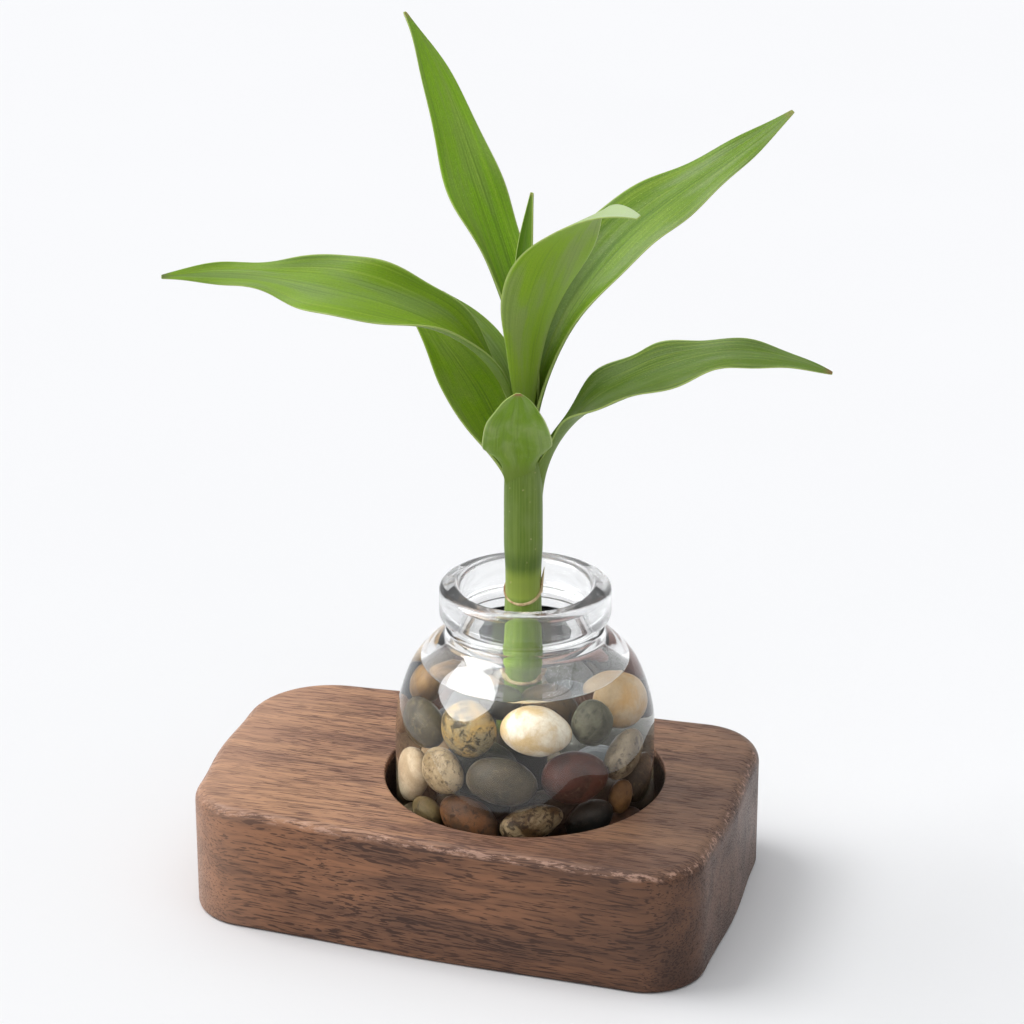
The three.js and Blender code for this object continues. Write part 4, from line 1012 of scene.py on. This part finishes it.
def build_floor():
    start_fresh()
    bpy.ops.mesh.primitive_plane_add(size=8)
    floor = bpy.context.object
    floor.name = "table_top"
    material, b, shader = new_material("matte_white", 0.9)
    place = b.node("ShaderNodeTexCoord").outputs["Object"]
    patch = b.noise(place, 6.0, 2.0)
    b.link(b.mix(patch, (0.86, 0.86, 0.87, 1), (0.88, 0.88, 0.89, 1)), shader.inputs["Base Color"])
    floor.data.materials.append(material)


def in_part(x, y, z):
    return JAR_TO_PART @ mm(x, y, z)


def build_world():
    """Light from above: strong overhead, weak near the horizon."""
    world = bpy.data.worlds.new("studio_ceiling")
    world.use_nodes = True
    b = Board(world.node_tree)
    way = b.node("ShaderNodeTexCoord").outputs["Generated"]
    up = b.node("ShaderNodeSeparateXYZ", {0: way}).outputs[2]
    overhead = b.math("POWER", b.math("MAXIMUM", up, 0.0), 3.0)
    sky = world.node_tree.nodes["Background"]
    sky.inputs["Color"].default_value = (0.975, 0.985, 1.0, 1)
    # the studio's pale walls show in the glass, but add little to the light
    path = b.node("ShaderNodeLightPath").outputs
    seen = b.math("SUBTRACT", 1.0, path["Diffuse Depth"], clamp=True)
    shown = b.math("ADD", b.math("MULTIPLY", path["Is Transmission Ray"], 0.6), 0.5)
    walls = b.math("ADD", b.math("MULTIPLY", seen, shown), 0.17)
    b.link(b.math("ADD", b.math("MULTIPLY", overhead, 1.28), walls), sky.inputs["Strength"])
    bpy.context.scene.world = world


def point_at(obj, place, aim):
    obj.location = place
    obj.rotation_euler = (aim - place).to_track_quat("-Z", "Y").to_euler()


def new_lamp(name, kind):
    data = bpy.data.lights.new(name, kind)
    lamp = bpy.data.objects.new(name, data)
    bpy.context.scene.collection.objects.link(lamp)
    return lamp, data


def light_all_but(lamp, name, *left_out):
    receivers = bpy.data.collections.new(name)
    for key in left_out:
        receivers.objects.link(bpy.data.objects[key])
    for entry in receivers.collection_objects:
        entry.light_linking.link_state = "EXCLUDE"
    lamp.light_linking.receiver_collection = receivers


def add_sun(name, energy, spread_deg, place, group, *left_out):
    lamp, sun = new_lamp(name, "SUN")
    sun.energy = energy
    sun.angle = math.radians(spread_deg)
    point_at(lamp, place, in_part(0, 0, 60))
    light_all_but(lamp, group, *left_out)


def build_light():
    build_world()
    add_sun("window_light", 1.55, 34, in_part(-550, 150, 880), "sun_receivers", "jar", "water_body")
    # a weak fill from the front left, kept off the floor
    add_sun("front_fill", 0.9, 60, in_part(-700, -420, 560), "fill_receivers", "jar", "water_body", "table_top")
    # a softbox that only shows as the round highlight on the jar's shoulder: its middle and its two
    # axes are directions from the highlight, in the jar's frame
    away = 0.5
    middle = Vector((-0.775, -0.243, 0.586))
    along_x = Vector((-0.647, 0.321, -0.692)).normalized()
    along_y = Vector((-0.056, -0.925, -0.377))
    along_y = (along_y - along_x * along_y.dot(along_x)).normalized()
    lamp, disc = new_lamp("highlight_disc", "AREA")
    disc.shape = "ELLIPSE"
    disc.size = 2 * 0.52 * away
    disc.size_y = 2 * 0.59 * away
    disc.energy = 7.6
    turn = Matrix((along_x, along_y, along_x.cross(along_y))).transposed().to_4x4()
    place = mm(-15.4, -23.8, 69.5) + middle * away
    lamp.matrix_world = JAR_TO_PART @ Matrix.Translation(place) @ turn
    lamp.visible_diffuse = False
    receivers = bpy.data.collections.new("glass_only")
    receivers.objects.link(bpy.data.objects["jar"])
    lamp.light_linking.receiver_collection = receivers


def build_camera():
    data = bpy.data.cameras.new("camera")
    data.sensor_fit = "HORIZONTAL"
    data.sensor_width = SENSOR_MM
    data.lens = SENSOR_MM * FOCAL_PX / PICTURE_PX
    data.clip_start = 0.05
    camera = bpy.data.objects.new("camera", data)
    bpy.context.scene.collection.objects.link(camera)
    point_at(camera, in_part(-3.54, -851.3, 464.4), in_part(-3.54, 0, 111.17))
    bpy.context.scene.camera = camera


build_floor()
build_light()
build_camera()
bpy.context.scene.view_settings.view_transform = "Standard"

start_fresh()
